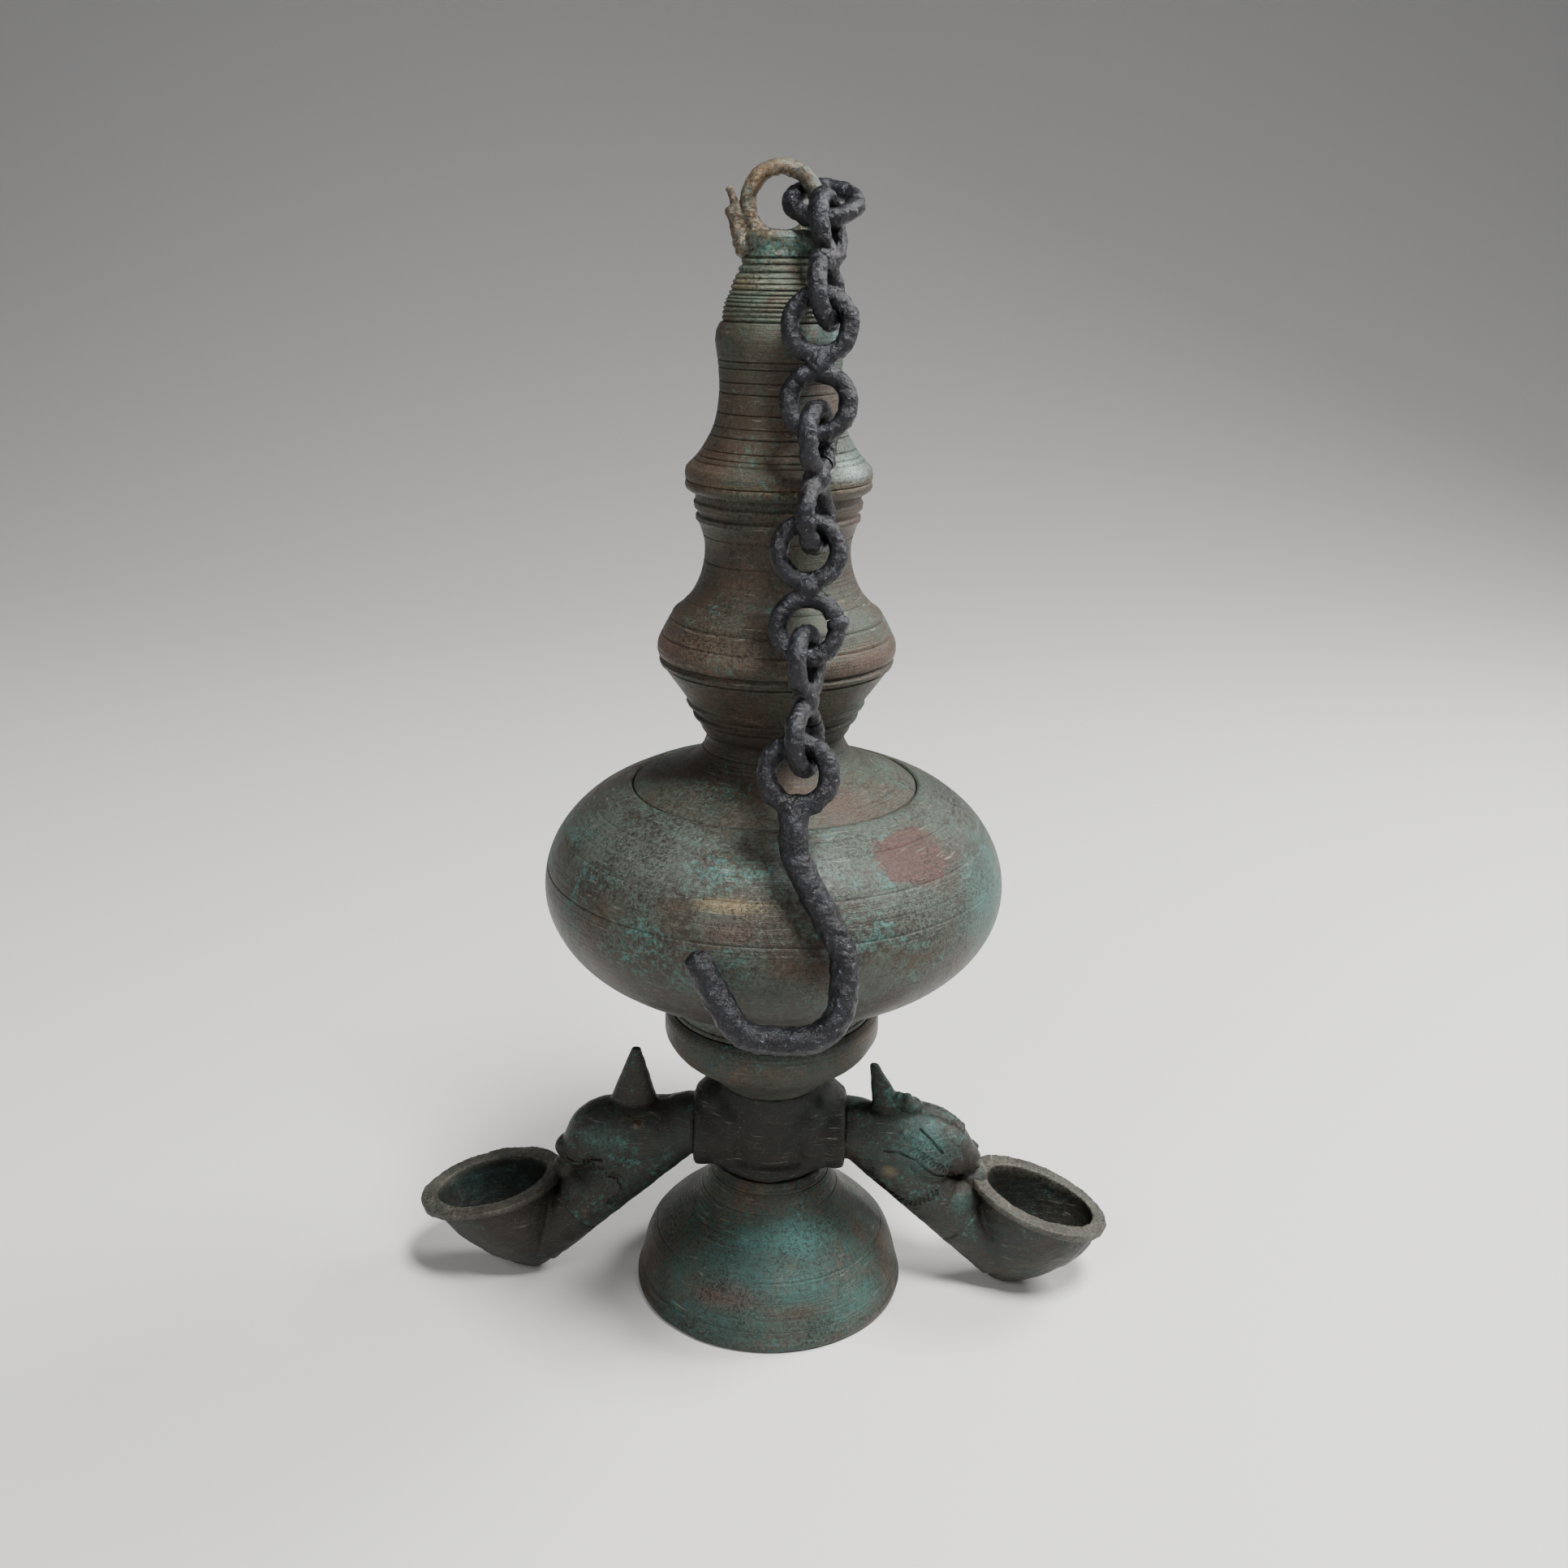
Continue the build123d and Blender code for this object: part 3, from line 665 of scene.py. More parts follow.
left_mane = [(56, 40.6), (50, 39.6), (45, 37.4), (43.2, 34.5), (44.5, 31.5), (48, 28.5)]
left_mouth = [(61.5, 41.5), (58, 40.2), (54, 42.5), (50, 43.5)]
left_cuts = strokes(left_mane, 19, 2.6, radians(62)) + runs(left_mouth)
right_mouth = [(34, 50.3), (38.5, 50.2), (43.5, 47.6), (47.5, 43.8), (50.5, 41.6), (57, 39.4)]
right_mane = [(29.5, 46), (30, 42), (32, 37.5), (36, 33.5), (41.5, 31), (46, 33), (50.5, 35.5)]
upper_lip = [(43, 50.8), (46.5, 48), (50, 45), (54, 42.6)]
right_cuts = strokes(right_mane, 22, 2.8, radians(70)) + runs(right_mouth)
right_cuts += strokes(upper_lip, 12, 2.4, radians(80)) + runs([(44.5, 56.5), (48, 53.5), (52, 48.8)])
ear = [(41, -2, 62, (2.0, 2.6, 3.2)), (42.8, -1, 60.6, (3.0, 3.6, 2.4)), (38.5, -1, 62, (2.4, 2.6, 3))]
nose_grain = [(60 + 3.0 * cos(turn), 3.3 * sin(2 * turn), 43.4 + 3.2 * sin(turn), (1.1, 1.1, 1.1))
              for turn in [radians(30 * step) for step in range(12)]]

arm_stains_and_shade = [
    ((-52, -9, 50), (9, 6, 7), TEAL, 0.35, 1.2),
    ((47, -7, 51), (12, 10, 8), (0.07, 0.18, 0.17, 1), 0.7, 1.0),
    ((58, -6, 31), (5, 5, 4), TEAL, 0.5, 1.0),
    ((-39, -9, 56), (2.6, 4, 2.4), OCHRE, 0.4, 1.0),
    ((36, -9, 43), (3, 4, 3), OCHRE, 0.35, 1.0),
    # Painted shade: dark patches where the arms meet the hub, under the reservoir.
    ((28, 0, 52), (13, 14, 14), DARK, 0.85, 1.0),
    ((-30, 0, 52), (14, 14, 14), DARK, 0.85, 1.0),
]
arm_bronze = bronze("arm_bronze", (0.1, 0.7, 0.4), (0.026, 0.021, 0.016, 1), (0.025, 0.04, 0.034, 1),
                    (0.52, 0.42, 0.34), arm_stains_and_shade, roughness=0.42)
left_arm = beast_arm(-1, "left_beast_arm", "left_arm", (62, 42.5), left_cuts, 0, [])
right_arm = beast_arm(1, "right_beast_arm", "right_arm", (60, 43.4), right_cuts, 11, ear + nose_grain)
finish_piece(left_arm, arm_bronze, "lamp", "left_arm")
finish_piece(right_arm, arm_bronze, "lamp", "right_arm")

# ---------------------------------------------------------------------------
# Wick cups: oval cast scoops with a flat lip, brazed on the end of the spouts. Soot and oil
# have left them dark inside, and the lip is painted pale.
# ---------------------------------------------------------------------------


def wick_cup(side, name, node):
    cup = cast_copy(name, node)
    low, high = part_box(node)
    heel_x = side * 72
    heel = rod((heel_x, 0, 7), (heel_x, 0, low.z / MM + 0.4), 3.0, 2.2)
    throat = rod((side * 57.3, 0, 24.4), (side * 63.5, 0, 18.8), 9.35, 9.2, 40)
    join_onto(cup, heel, throat)
    cast_skin(cup, 0.45, 3)
    uneven(cup, 0.8, 8)
    uneven(cup, 0.3, 2.5)
    return cup


# The pale colour painted along the flat lips of the cups.
LIP = (0.15, 0.14, 0.11, 1)
cup_stains = [
    ((82.4, 0, 30.8), (40, 30, 3.4), LIP, 0.75, 0.8, -20),
    ((-86, 0, 29.7), (40, 30, 3.0), LIP, 0.8, 0.8, 13),
    ((-86, 2, 22), (14, 14, 7), TEAL, 0.7, 0.9),
    ((82, 0, 19), (13, 12, 8), (0.02, 0.035, 0.045, 1), 0.7, 1.0),
]
cup_bronze = bronze("cup_bronze", (0.9, 0.2, 0.6), (0.026, 0.021, 0.016, 1), (0.022, 0.034, 0.03, 1),
                    (0.52, 0.36, 0.34), cup_stains,
                    roughness=0.42)
left_cup = wick_cup(-1, "left_wick_cup", "left_cup")
right_cup = wick_cup(1, "right_wick_cup", "right_cup")
finish_piece(left_cup, cup_bronze, "lamp", "left_cup")
finish_piece(right_cup, cup_bronze, "lamp", "right_cup")

# ---------------------------------------------------------------------------
# Collar: a turned bronze cup that carries the reservoir on its rim.
# ---------------------------------------------------------------------------

collar_low, collar_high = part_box("collar")
c0, c_rim, c_top = collar_low.z / MM, collar_high.x / MM, collar_high.z / MM - 2
register_r = 27.25
collar_outline = [(9.05, c0 + 3), (9.05, c0), (15.3, c0)]
collar_outline += smooth_run([(15.8, c0 + 0.4), (18.3, c0 + 3), (22.8, c0 + 7), (c_rim - 3, c_top - 12.6),
                              (c_rim - 0.3, c_top - 8.2)], 6)
collar_outline += [(c_rim, c_top - 7), (c_rim, c_top - 3), (c_rim - 0.3, c_top - 1.4),
                   (c_rim - 1.2, c_top - 0.4), (c_rim - 1.6, c_top), (register_r, c_top),
                   (register_r, c_top + 2), (register_r - 1.6, c_top + 2),
                   (register_r - 1.6, c_top - 6), (19.3, c0 + 9), (4, c0 + 6), (4, c0 + 3)]
collar = turned("collar_cup", collar_outline)
uneven(collar, 0.4, 12)
soft_edges(collar)
collar_bronze = bronze("collar_bronze", (0.3, 0.8, 0.1), (0.05, 0.04, 0.028, 1), DEEP_GREEN,
                       (0.52, 0.34, 0.42), lines=1100, roughness=0.44)
finish_piece(collar, collar_bronze, "lamp", "collar")

# ---------------------------------------------------------------------------
# Reservoir: a wide bowl of cast bronze, turned thin. A groove runs round its belly, and its
# shoulder is cut back to a seat that the lid screws into.
# ---------------------------------------------------------------------------

bowl_low, bowl_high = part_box("reservoir")
b0, b_top, b_r = bowl_low.z / MM, bowl_high.z / MM, bowl_high.x / MM
belly_x, belly_half, below, above = b_r - 40, 40, 29.5, 31.5
seat_r, land, bowl_wall = 40.0, 0.7, 2.2
belly_z = b_top - above * sqrt(1 - ((seat_r + land - belly_x) / belly_half) ** 2)


def belly(start, end, inset, steps):
    """Points on the two joined half-ovals of the belly, between two angles in degrees."""
    points = []
    for step in range(steps + 1):
        angle = radians(start + (end - start) * step / steps)
        depth = above if angle > 0 else below
        points.append((belly_x + (belly_half - inset) * cos(angle), belly_z + (depth - inset) * sin(angle)))
    return points



def belly_angle(rise, depth):
    """The angle on a half-oval of this depth that lies at this rise, in degrees."""
    share = rise / depth
    return degrees(atan(share / sqrt(1 - share ** 2)))


seat_angle = belly_angle(b_top - belly_z, above)
outer_belly = belly(-52, seat_angle, 0, 100)
belly_rings = [b0 + 14, belly_z + 6.5, belly_z + 16.4, belly_z + 24.4]
outer_belly = scored(outer_belly, belly_rings, 0.2)
ledge = b_top - 2
bowl_outline = [(27.3, b0), (29.2, b0), (29.5, b0 + 0.4), (29.5, b0 + 1.4), (29.1, b0 + 1.8),
                (29.5, b0 + 2.2), (29.5, b0 + 4.4), (29.8, b0 + 5)]
bowl_outline += outer_belly
bowl_outline += [(seat_r + 0.3, b_top - 0.05), (seat_r, b_top - 0.3), (seat_r, ledge), (22, ledge),
                 (22, ledge - 10), (24.5, ledge - 10), (24.5, ledge - bowl_wall)]
inner_top = belly_angle(ledge - bowl_wall - belly_z, above - bowl_wall)
bowl_outline += belly(inner_top, -52, bowl_wall, 30) + [(27.3, b0 + 5.4)]
bowl = turned("oil_bowl", bowl_outline, 192)
uneven(bowl, 0.35, 22)
soft_edges(bowl)
bowl_stains_shade_and_highlight = [
    ((60, -24, 139), (13, 36, 20), TEAL, 0.75, 1.1),
    # Painted shade: the next two patches darken the left side and the lower front of the bowl.
    ((-58, -26, 126), (14, 40, 26), DARK, 0.6, 1.3),
    ((0, -62, 112), (70, 34, 22), (0.02, 0.018, 0.015, 1), 0.85, 0.8),
    ((-9, -58.5, 148.6), (12, 7, 2.4), OCHRE, 0.6, 0.9),
    # Painted highlight: a pale grey-green patch high on the front right of the bowl.
    ((11, -51, 156), (14, 9, 6), (0.17, 0.2, 0.19, 1), 0.55, 1.0),
    ((20, -61, 138.5), (6, 5, 2.6), (0.22, 0.36, 0.36, 1), 0.75, 0.8),
    ((-8.4, -62.3, 142.6), (8, 6, 4), MAROON, 0.6, 0.8),
    ((41, -50.3, 131.9), (10, 9, 5), (0.06, 0.032, 0.018, 1), 0.7, 0.8),
    ((-34, -40, 154), (30, 26, 8), (0.11, 0.13, 0.115, 1), 0.7, 1.0),
    ((37, -39, 154.6), (12.5, 12, 7), (0.075, 0.032, 0.026, 1), 0.9, 0.12),
]
bowl_bronze = bronze("bowl_bronze", (0.0, 0.0, 0.0), (0.04, 0.03, 0.022, 1), GREY_GREEN, (0.54, 0.42, 0.42),
                     bowl_stains_shade_and_highlight, lines=850, roughness=0.36)
finish_piece(bowl, bowl_bronze, "lamp", "reservoir")

# ---------------------------------------------------------------------------
# Washer: a ring of thick leather, soaked in oil, which the lid is screwed down on.
# ---------------------------------------------------------------------------

washer_low, washer_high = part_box("lid_washer")
w0, w1, w_r = washer_low.z / MM, washer_high.z / MM, washer_high.x / MM
washer = turned("leather_washer", [(25.5, w0 + 0.2), (25.7, w0), (w_r - 0.2, w0), (w_r, w0 + 0.2),
                                   (w_r, w1 - 0.2), (w_r - 0.2, w1), (25.7, w1), (25.5, w1 - 0.2)])
soft_edges(washer, 60)
leather = bpy.data.materials.new("oiled_leather")
leather.use_nodes = True
leather_tree = leather.node_tree
leather_shader = leather_tree.nodes["Principled BSDF"]
leather_place = leather_tree.nodes.new("ShaderNodeTexCoord").outputs["Object"]
leather_grain = noise(leather_tree, leather_place, 900, 4, 0.7)
leather_colour = blend_colour(leather_tree, leather_grain, (0.03, 0.016, 0.009, 1), (0.1, 0.055, 0.03, 1))
leather_tree.links.new(leather_colour, leather_shader.inputs["Base Color"])
leather_shader.inputs["Roughness"].default_value = 0.55
leather_relief = leather_tree.nodes.new("ShaderNodeBump")
leather_relief.inputs["Distance"].default_value = 0.0003
leather_tree.links.new(leather_grain, leather_relief.inputs["Height"])
leather_tree.links.new(leather_relief.outputs["Normal"], leather_shader.inputs["Normal"])
finish_piece(washer, leather, "washer", "lid_washer", slot="leather")

# ---------------------------------------------------------------------------
# Tower: three hollow castings driven one into the other. The lowest is the lid of the
# reservoir. All were turned, and the grooves of the cone were cut with a point.
# ---------------------------------------------------------------------------

tl_low, tl_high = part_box("tower_lower")
t0, t1, lid_r = tl_low.z / MM, tl_high.z / MM, tl_high.x / MM
flange = w1
bulge_z, bulge_r = t1 - 43.5, 32.6
lid_outline = [(15.5, t0), (21.9, t0), (21.9, flange), (lid_r - 0.2, flange), (lid_r, flange + 0.3),
               (lid_r - 0.2, b_top - 0.1)]
lid_foot = smooth_run([(lid_r - 0.6, b_top + 0.1), (30, b_top + 4), (22.5, b_top + 8), (19.2, b_top + 13.3),
                       (20.6, b_top + 16.6), (21.4, b_top + 18.8)], 9)
lid_outline += scored(lid_foot, [b_top + 2.2, b_top + 11, b_top + 16], 0.2)
under = b_top + 18.8
under_steps = [(22.6, 0.8), (22.9, 1.6), (22.3, 2.3), (22.4, 3.0), (24.2, 4.2), (24.6, 5.0), (24.2, 5.7),
               (24.4, 6.4)]
lid_outline += [(radius, under + up) for radius, up in under_steps]
lid_outline += smooth_run([(25.0, under + 7), (28.6, bulge_z - 7.2), (bulge_r - 1.8, bulge_z - 4)], 6)
lid_outline += [(bulge_r - 2.0, bulge_z - 3.6), (bulge_r - 0.8, bulge_z - 3.1),
                (bulge_r - 0.5, bulge_z - 2.2), (bulge_r - 0.9, bulge_z - 1.4),
                (bulge_r - 1.2, bulge_z - 1.0), (bulge_r - 0.3, bulge_z - 0.3),
                (bulge_r, bulge_z + 0.8), (bulge_r - 0.1, bulge_z + 2.4)]
bulge_top = smooth_run([(bulge_r - 0.4, bulge_z + 3.4), (bulge_r - 2.4, bulge_z + 7.4),
                        (bulge_r - 4.3, bulge_z + 10.8)], 6)
lid_outline += scored(bulge_top, [bulge_z + 5.2, bulge_z + 9.6], 0.35, 0.5)
lid_outline += [(bulge_r - 4.7, bulge_z + 11.2)]
stem = smooth_run([(bulge_r - 5.5, bulge_z + 11.6), (23, t1 - 27.5), (20.4, t1 - 21.5), (19.6, t1 - 14.5),
                   (21, t1 - 8.5), (22.7, t1 - 0.8)], 8)
plain_stem = [point for point in stem if point[1] < t1 - 8.6]
lid_outline += scored(plain_stem, [t1 - 29, t1 - 18.4, t1 - 11.6], 0.22)
lid_outline += [(21.4, t1 - 8.2), (21.9, t1 - 7.6), (21.9, t1 - 6.6), (21.3, t1 - 6), (21.5, t1 - 5.2),
                (22.3, t1 - 4.4), (22.5, t1 - 3), (22, t1 - 2.2), (22.2, t1), (15.5, t1), (15.5, t1 - 20)]
lid_outline += smooth_run([(16.5, t1 - 23), (24.6, bulge_z + 10), (28.1, bulge_z), (22.6, bulge_z - 11),
                           (16, b_top + 20)], 5) + [(15.5, b_top + 18)]
lid = turned("lid_tower", lid_outline)
uneven(lid, 0.4, 14)
soft_edges(lid)
lid_stains_and_shade = [
    # Painted shade: the next three dark bands, on the stem, under the bulge and at the waist of the upper
    # tower.
    ((0, 0, 227), (28, 28, 14), (0.02, 0.016, 0.012, 1), 0.75, 0.8),
    ((0, 0, 176), (36, 36, 13), (0.014, 0.011, 0.009, 1), 0.85, 0.8),
    ((0, 0, 274), (22, 22, 14), (0.024, 0.018, 0.013, 1), 0.65, 0.9),
    ((0, 0, 203), (42, 42, 7), (0.15, 0.09, 0.055, 1), 0.6, 0.9),
    ((-28, -14, 203), (14, 20, 5), MAROON, 0.6, 0.8),
    ((24, -20, 202), (14, 16, 5), MAROON, 0.5, 0.8),
    ((26, -20, 212), (16, 16, 6), (0.07, 0.1, 0.085, 1), 0.6, 1.0),
    ((26, -6, 256), (16, 24, 9), (0.09, 0.2, 0.17, 1), 0.7, 1.0),
    ((20, -14, 251), (9, 12, 4), (0.28, 0.36, 0.33, 1), 0.75, 0.9),
    ((16, -6, 284), (8, 16, 14), TEAL, 0.65, 0.9),
    ((-20, -12, 250), (14, 18, 3), (0.1, 0.07, 0.045, 1), 0.6, 0.8),
    ((0, -10, 246.5), (26, 26, 1.8), GOLD, 0.6, 0.8),
    ((0, 0, 200.5), (34, 34, 1.6), GOLD, 0.5, 0.9),
    ((0, 0, 162), (46, 46, 6), (0.1, 0.12, 0.105, 1), 0.8, 0.8),
    ((14, -28, 164), (14, 14, 5), MAROON, 0.5, 0.9),
]
lid_bronze = bronze("lid_bronze", (0.4, 0.6, 0.33), (0.06, 0.042, 0.028, 1), (0.05, 0.062, 0.045, 1),
                    (0.5, 0.38, 0.46), lid_stains_and_shade, lines=950, roughness=0.44)
finish_piece(lid, lid_bronze, "tower", "tower_lower")

tu_low, tu_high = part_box("tower_upper")
u0, u1, skirt_r = tu_low.z / MM + 4, tu_high.z / MM, tu_high.x / MM
upper_outline = [(11, u0 - 4), (15.4, u0 - 4), (15.4, u0), (skirt_r - 1, u0), (skirt_r - 0.3, u0 + 0.6),
                 (skirt_r, u0 + 1.4), (skirt_r - 0.2, u0 + 2.6), (skirt_r - 0.5, u0 + 2.9),
                 (skirt_r - 0.1, u0 + 3.2), (skirt_r, u0 + 4.6), (skirt_r - 0.3, u0 + 6.0)]
spire = smooth_run([(skirt_r - 1, u0 + 6.8), (20.6, u0 + 10.5), (17.2, u0 + 17), (15.9, u1 - 18),
                    (16, u1 - 12), (16.7, u1 - 6)], 7)
spire_rings = [u0 + up for up in (8.2, 9.4, 11.2, 14.6, 17, 20.4)]
spire_rings += [u1 - down for down in (17.2, 14.4, 11, 9.2)]
upper_outline += scored(spire, spire_rings, 0.28, 0.26)
upper_outline += [(16.9, u1 - 4.6), (16.6, u1 - 2), (15.6, u1), (11, u1)]
upper_tower = turned("upper_tower", upper_outline)
uneven(upper_tower, 0.35, 12)
soft_edges(upper_tower)
finish_piece(upper_tower, lid_bronze, "tower", "tower_upper")

cone_low, cone_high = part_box("finial_cone")
k0, k1 = cone_low.z / MM + 4, cone_high.z / MM
cone_outline = [(8, k0 - 4), (10.95, k0 - 4), (10.95, k0)]
cone_side = smooth_run([(15.1, k0), (14.8, k0 + 3.8), (13.6, k0 + 6.8), (12, k0 + 10.8), (9.7, k1)], 16)
for index, (radius, height) in enumerate(cone_side):
    ridge = index // 5
    sink = (0.0, 0.05, 0.55, 0.6, 0.1)[index % 5] * (0.55 + 0.45 * sin(2.3 * ridge + 1) ** 2)
    cone_outline.append((radius - sink, height + 0.12 * sin(1.7 * ridge)))
cone_outline += [(8, k1)]
cone = turned("ringed_cone", cone_outline)
uneven(cone, 0.3, 5)
soft_edges(cone, 50)
cone_stains = [
    ((16, -2, 290), (9, 18, 14), (0.06, 0.2, 0.17, 1), 0.8, 0.8),
    ((-14, -8, 286), (9, 14, 8), BROWN, 0.7, 0.9),
    ((-10, -10, 296), (9, 12, 3), GOLD, 0.5, 0.9),
]
cone_bronze = bronze("cone_bronze", (0.8, 0.5, 0.9), (0.075, 0.065, 0.045, 1), (0.09, 0.12, 0.09, 1),
                     (0.5, 0.34, 0.46), cone_stains, roughness=0.42, bump=0.9)
finish_piece(cone, cone_bronze, "tower", "finial_cone")

# ---------------------------------------------------------------------------
# Suspension loop: crown, two leaf points and standing ring, one small casting. Handling has
# rubbed the top of the ring back to golden brown.
# ---------------------------------------------------------------------------

loop = cast_copy("hanging_loop", "suspension_loop")
join_onto(loop, rod((-9, 0, 303), (-13.4, 0, 314), 2.6, 1.3), lump((-8.6, 0, 304), (3.2, 3.0, 3.0)),
          lump((8.6, 0, 304), (3.2, 3.0, 3.0)))
cast_skin(loop, 0.34, 4)
uneven(loop, 0.9, 3)
uneven(loop, 0.4, 1.2)
loop_stains = [
    ((-4, 0, 322), (9, 6, 5), (0.2, 0.13, 0.075, 1), 0.75, 1.0),
    ((0, 0, 304), (14, 14, 5), TEAL, 0.7, 1.0),
    ((-13, 0, 312), (4, 5, 8), DARK, 0.6, 0.9),
]
loop_bronze = bronze("loop_bronze", (0.6, 0.9, 0.2), (0.14, 0.1, 0.06, 1), (0.09, 0.12, 0.1, 1),
                     (0.46, 0.42, 0.42), loop_stains, roughness=0.34, bump=0.9)
finish_piece(loop, loop_bronze, "tower", "suspension_loop")

# ---------------------------------------------------------------------------
# Chain: round iron, forged by hand. Each link is a bar closed into two eyes, and where the
# ends cross they are hammered together into a lump.
# ---------------------------------------------------------------------------


def forged_iron(name, shift):
    material = bpy.data.materials.new(name)
    material.use_nodes = True
    tree = material.node_tree
    shader = tree.nodes["Principled BSDF"]
    place = stretched(tree, tree.nodes.new("ShaderNodeTexCoord").outputs["Object"], (1, 1, 1), shift)
    pits = noise(tree, place, 750, 4, 0.7)
    scale = noise(tree, place, 160, 5, 0.65)
    rust = ramp(tree, noise(tree, place, 90, 5, 0.7, 0.5), 0.58, 0.72)
    bloom = ramp(tree, scale, 0.35, 0.65)
    colour = blend_colour(tree, bloom, (0.003, 0.003, 0.004, 1), (0.013, 0.0135, 0.018, 1))
    colour = blend_colour(tree, maths(tree, "MULTIPLY", rust, 0.35), colour, (0.06, 0.04, 0.03, 1))
    # Painted highlights: the pale specks on the pits are painted glints of light on the iron.
    colour = blend_colour(tree, ramp(tree, pits, 0.6, 0.72), colour, (0.1, 0.1, 0.13, 1))
    tree.links.new(colour, shader.inputs["Base Color"])
    shader.inputs["Metallic"].default_value = 0.4
    tree.links.new(maths(tree, "ADD", 0.2, maths(tree, "MULTIPLY", scale, 0.3)), shader.inputs["Roughness"])
    relief = tree.nodes.new("ShaderNodeBump")
    relief.inputs["Strength"].default_value = 1.0
    relief.inputs["Distance"].default_value = 0.0006
    tree.links.new(maths(tree, "ADD", pits, maths(tree, "MULTIPLY", scale, 0.8)), relief.inputs["Height"])
    tree.links.new(relief.outputs["Normal"], shader.inputs["Normal"])
    return material


iron = forged_iron("forged_iron", (0.1, 0.2, 0.3))
EYE_OFFSET, EYE_RADIUS, LINK_TURN = 9.3, 7.3, radians(-71)
pivots = {joint["child"]: Vector(joint["pos_m"]) / MM for joint in frame["joints"] if "pos_m" in joint}


def link_place(number, eye, turn, out):
    """A place on a link: eye -1 is the upper one and 1 the lower, turn runs round it from the
    waist in degrees, and out is the distance from the eye's centre."""
    low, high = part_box(f"link_{number}")
    middle = (low + high) / (2 * MM)
    after = pivots.get(f"link_{number + 1}", pivots["hook"])
    down = (after - pivots[f"link_{number}"]).normalized()
    down.x = 0
    down.normalize()
    side = Vector((1, 0, 0))
    if number % 2:
        side = Matrix.Rotation(LINK_TURN, 3, down) @ side
    centre = middle + down * (EYE_OFFSET * eye)
    way = side * sin(radians(turn)) - down * (eye * cos(radians(turn)))
    return centre + way * out, side * cos(radians(turn)) + down * (eye * sin(radians(turn)))


def split_wire(piece, number, eye, turn):
    """Parts the wire where its end was closed onto the bar, and leaves a blunt swollen end."""
    place, way = link_place(number, eye, turn, EYE_RADIUS)
    join_onto(piece, lump(place + way * 1.6, (2.75, 2.75, 2.75)))
    cast_skin(piece, 0.4, 3)
    cut_away(piece, rod(place - way * 0.3, place + way * 0.25, 4.2, 4.2, 24))


WIRE_ENDS = {"link_1": (1, 1, -50), "link_2": (2, 1, -48), "link_3": (3, -1, 40), "link_4": (4, 1, 70),
             "link_5": (5, 1, 50)}
for node in ["ring_link"] + [f"link_{number}" for number in range(1, 6)] + ["hook"]:
    forged = cast_copy(f"forged_{node}", node)
    if node in WIRE_ENDS:
        split_wire(forged, *WIRE_ENDS[node])
    else:
        cast_skin(forged, 0.4, 3)
    uneven(forged, 1.1, 3.4)
    uneven(forged, 0.45, 1.3)
    soft_edges(forged, 50)
    finish_piece(forged, iron, node if node != "ring_link" else "ring", node, slot="iron")

# ---------------------------------------------------------------------------
# Studio: pale floor that is swept up behind the lamp, soft light mostly from above, and the
# camera.
# ---------------------------------------------------------------------------

clear_selection()
bpy.ops.mesh.primitive_plane_add(size=6, location=(0, 0, 0))
floor = bpy.context.object
floor.name = "floor"
bpy.ops.object.mode_set(mode="EDIT")
bpy.ops.mesh.select_all(action="DESELECT")
bpy.ops.object.mode_set(mode="OBJECT")
for edge in floor.data.edges:
    edge.select = all(floor.data.vertices[v].co.y > 2.9 for v in edge.vertices)
bpy.ops.object.mode_set(mode="EDIT")
bpy.context.tool_settings.mesh_select_mode = (False, True, False)
bpy.ops.mesh.extrude_region_move(TRANSFORM_OT_translate={"value": (0, 0, 5)})
bpy.ops.mesh.select_all(action="DESELECT")
bpy.ops.object.mode_set(mode="OBJECT")
for edge in floor.data.edges:
    ends = [floor.data.vertices[v].co for v in edge.vertices]
    edge.select = all(end.y > 2.9 and end.z < 0.1 for end in ends)
bpy.ops.object.mode_set(mode="EDIT")
bpy.ops.mesh.bevel(offset=2.2, segments=24)
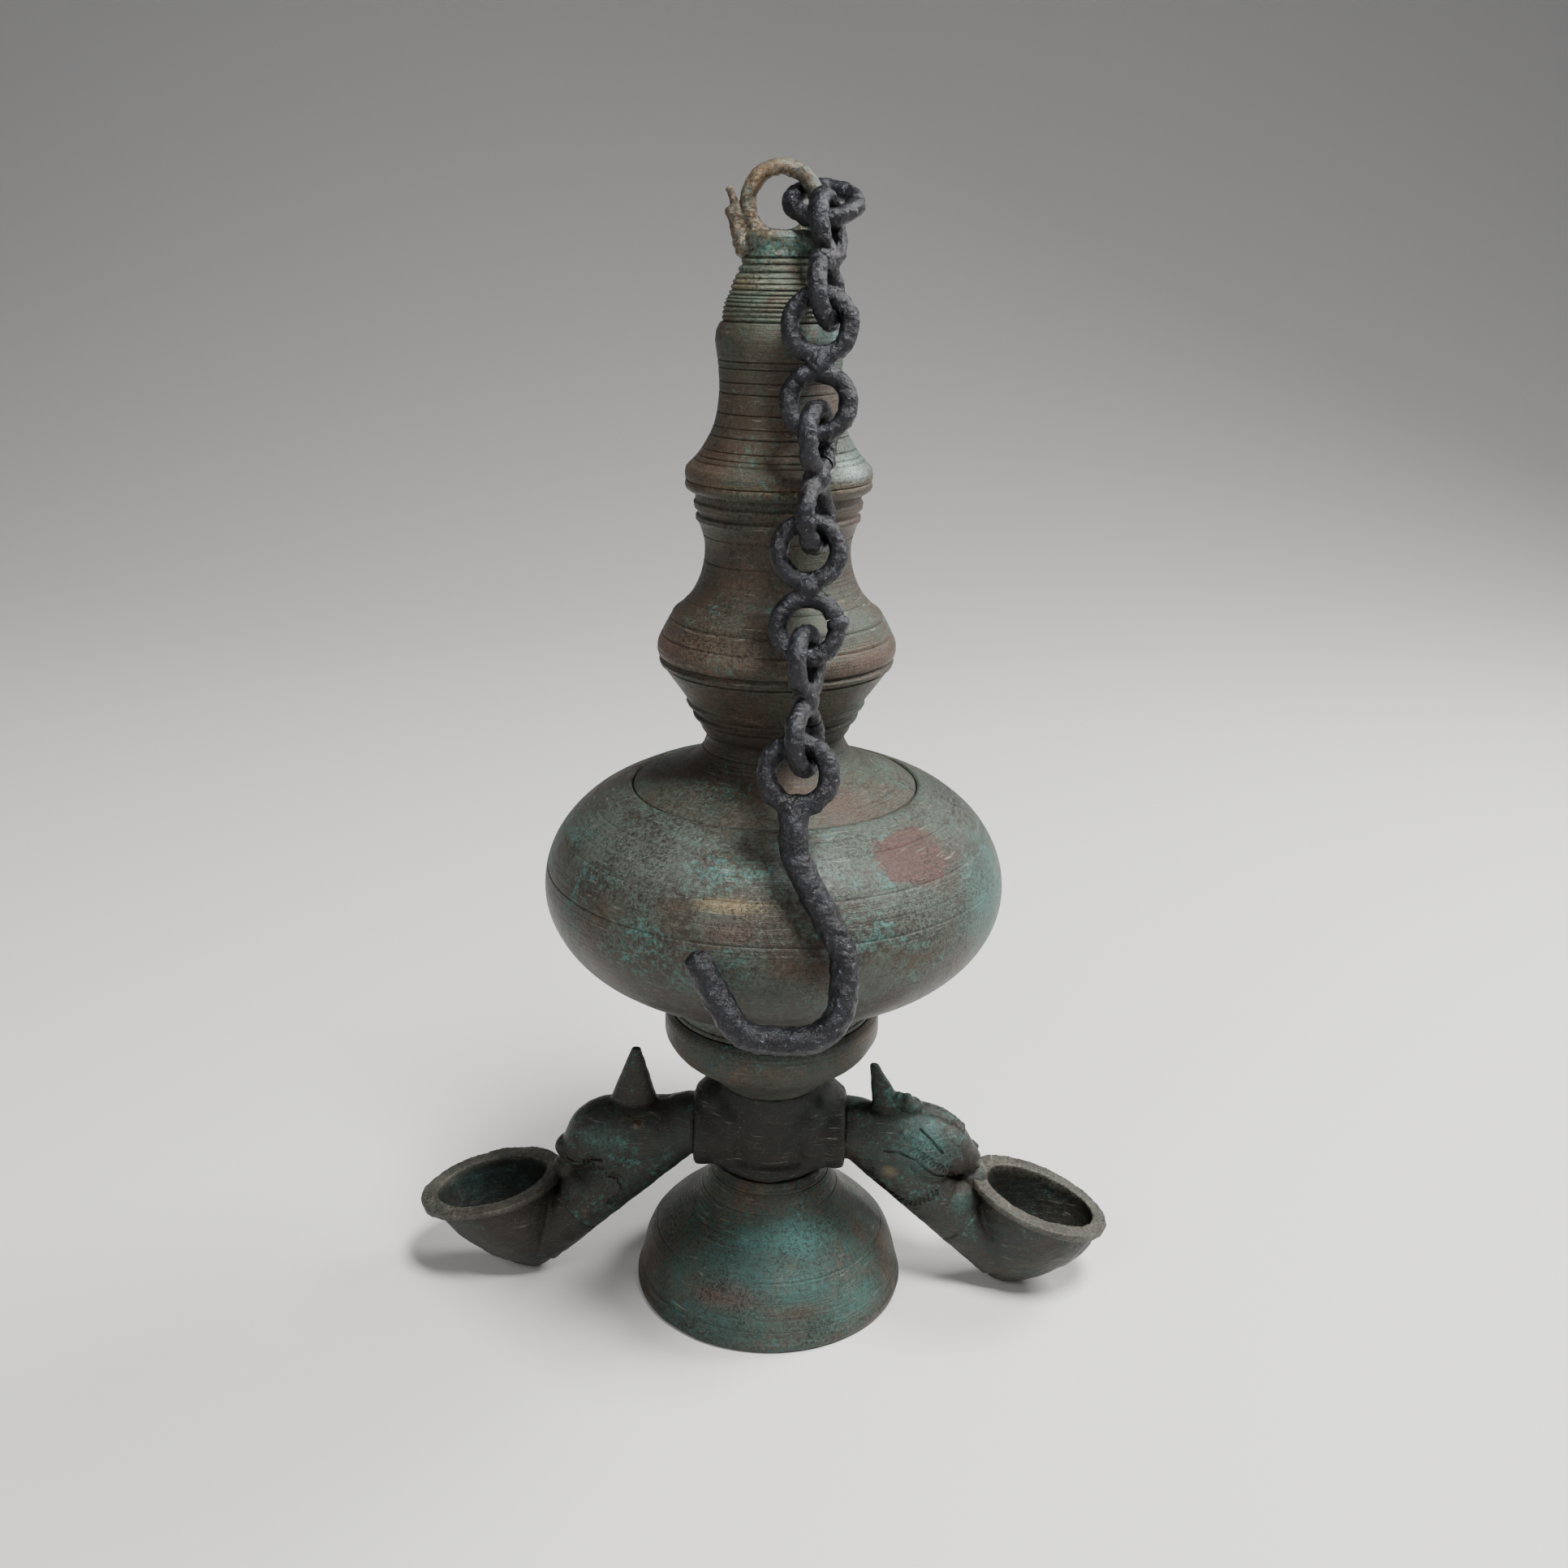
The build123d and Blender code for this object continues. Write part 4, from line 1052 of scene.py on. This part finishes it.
bpy.ops.object.mode_set(mode="OBJECT")
bpy.ops.object.shade_smooth()
floor_paint = bpy.data.materials.new("pale_floor")
floor_paint.use_nodes = True
floor_shader = floor_paint.node_tree.nodes["Principled BSDF"]
floor_shader.inputs["Base Color"].default_value = (0.72, 0.7, 0.68, 1)
floor_shader.inputs["Roughness"].default_value = 0.8
floor.data.materials.append(floor_paint)

world = bpy.data.worlds.new("studio")
bpy.context.scene.world = world
world.use_nodes = True
world.node_tree.nodes["Background"].inputs["Color"].default_value = (0.72, 0.75, 0.8, 1)
world.node_tree.nodes["Background"].inputs["Strength"].default_value = 0.16


def softbox(name, place, aim, size, watts):
    clear_selection()
    bpy.ops.object.light_add(type="AREA", location=place)
    light = bpy.context.object
    light.name = name
    light.data.size = size
    light.data.energy = watts
    light.rotation_euler = (Vector(aim) - Vector(place)).to_track_quat("-Z", "Y").to_euler()
    return light


softbox("key", (0.3, -0.35, 1.15), (0, 0, 0.13), 0.3, 26)
softbox("rim", (0.75, 0.35, 0.75), (0, 0, 0.15), 0.4, 13)
softbox("front", (-0.55, -0.8, 0.75), (0, 0, 0.15), 0.5, 4)

CAMERA_BACK, CAMERA_HEIGHT = 432.66, 308.0      # millimetres
PITCH, ROUND, ROLL = radians(18.77), radians(2.0), radians(0.75)
SENSOR, LENS, SIDE_SHIFT = 36, 37.267, 0.0059
camera_data = bpy.data.cameras.new("camera")
camera = bpy.data.objects.new("camera", camera_data)
bpy.context.scene.collection.objects.link(camera)
camera_data.sensor_width = SENSOR
camera_data.lens = LENS
camera_data.shift_x = SIDE_SHIFT
camera_data.clip_start = 0.01
camera.location = (sin(ROUND) * CAMERA_BACK * MM, -cos(ROUND) * CAMERA_BACK * MM, CAMERA_HEIGHT * MM)
turn = Matrix.Rotation(ROUND, 4, "Z") @ Matrix.Rotation(pi / 2 - PITCH, 4, "X")
turn = turn @ Matrix.Rotation(ROLL, 4, "Z")
camera.matrix_world = Matrix.Translation(camera.location) @ turn
bpy.context.scene.camera = camera
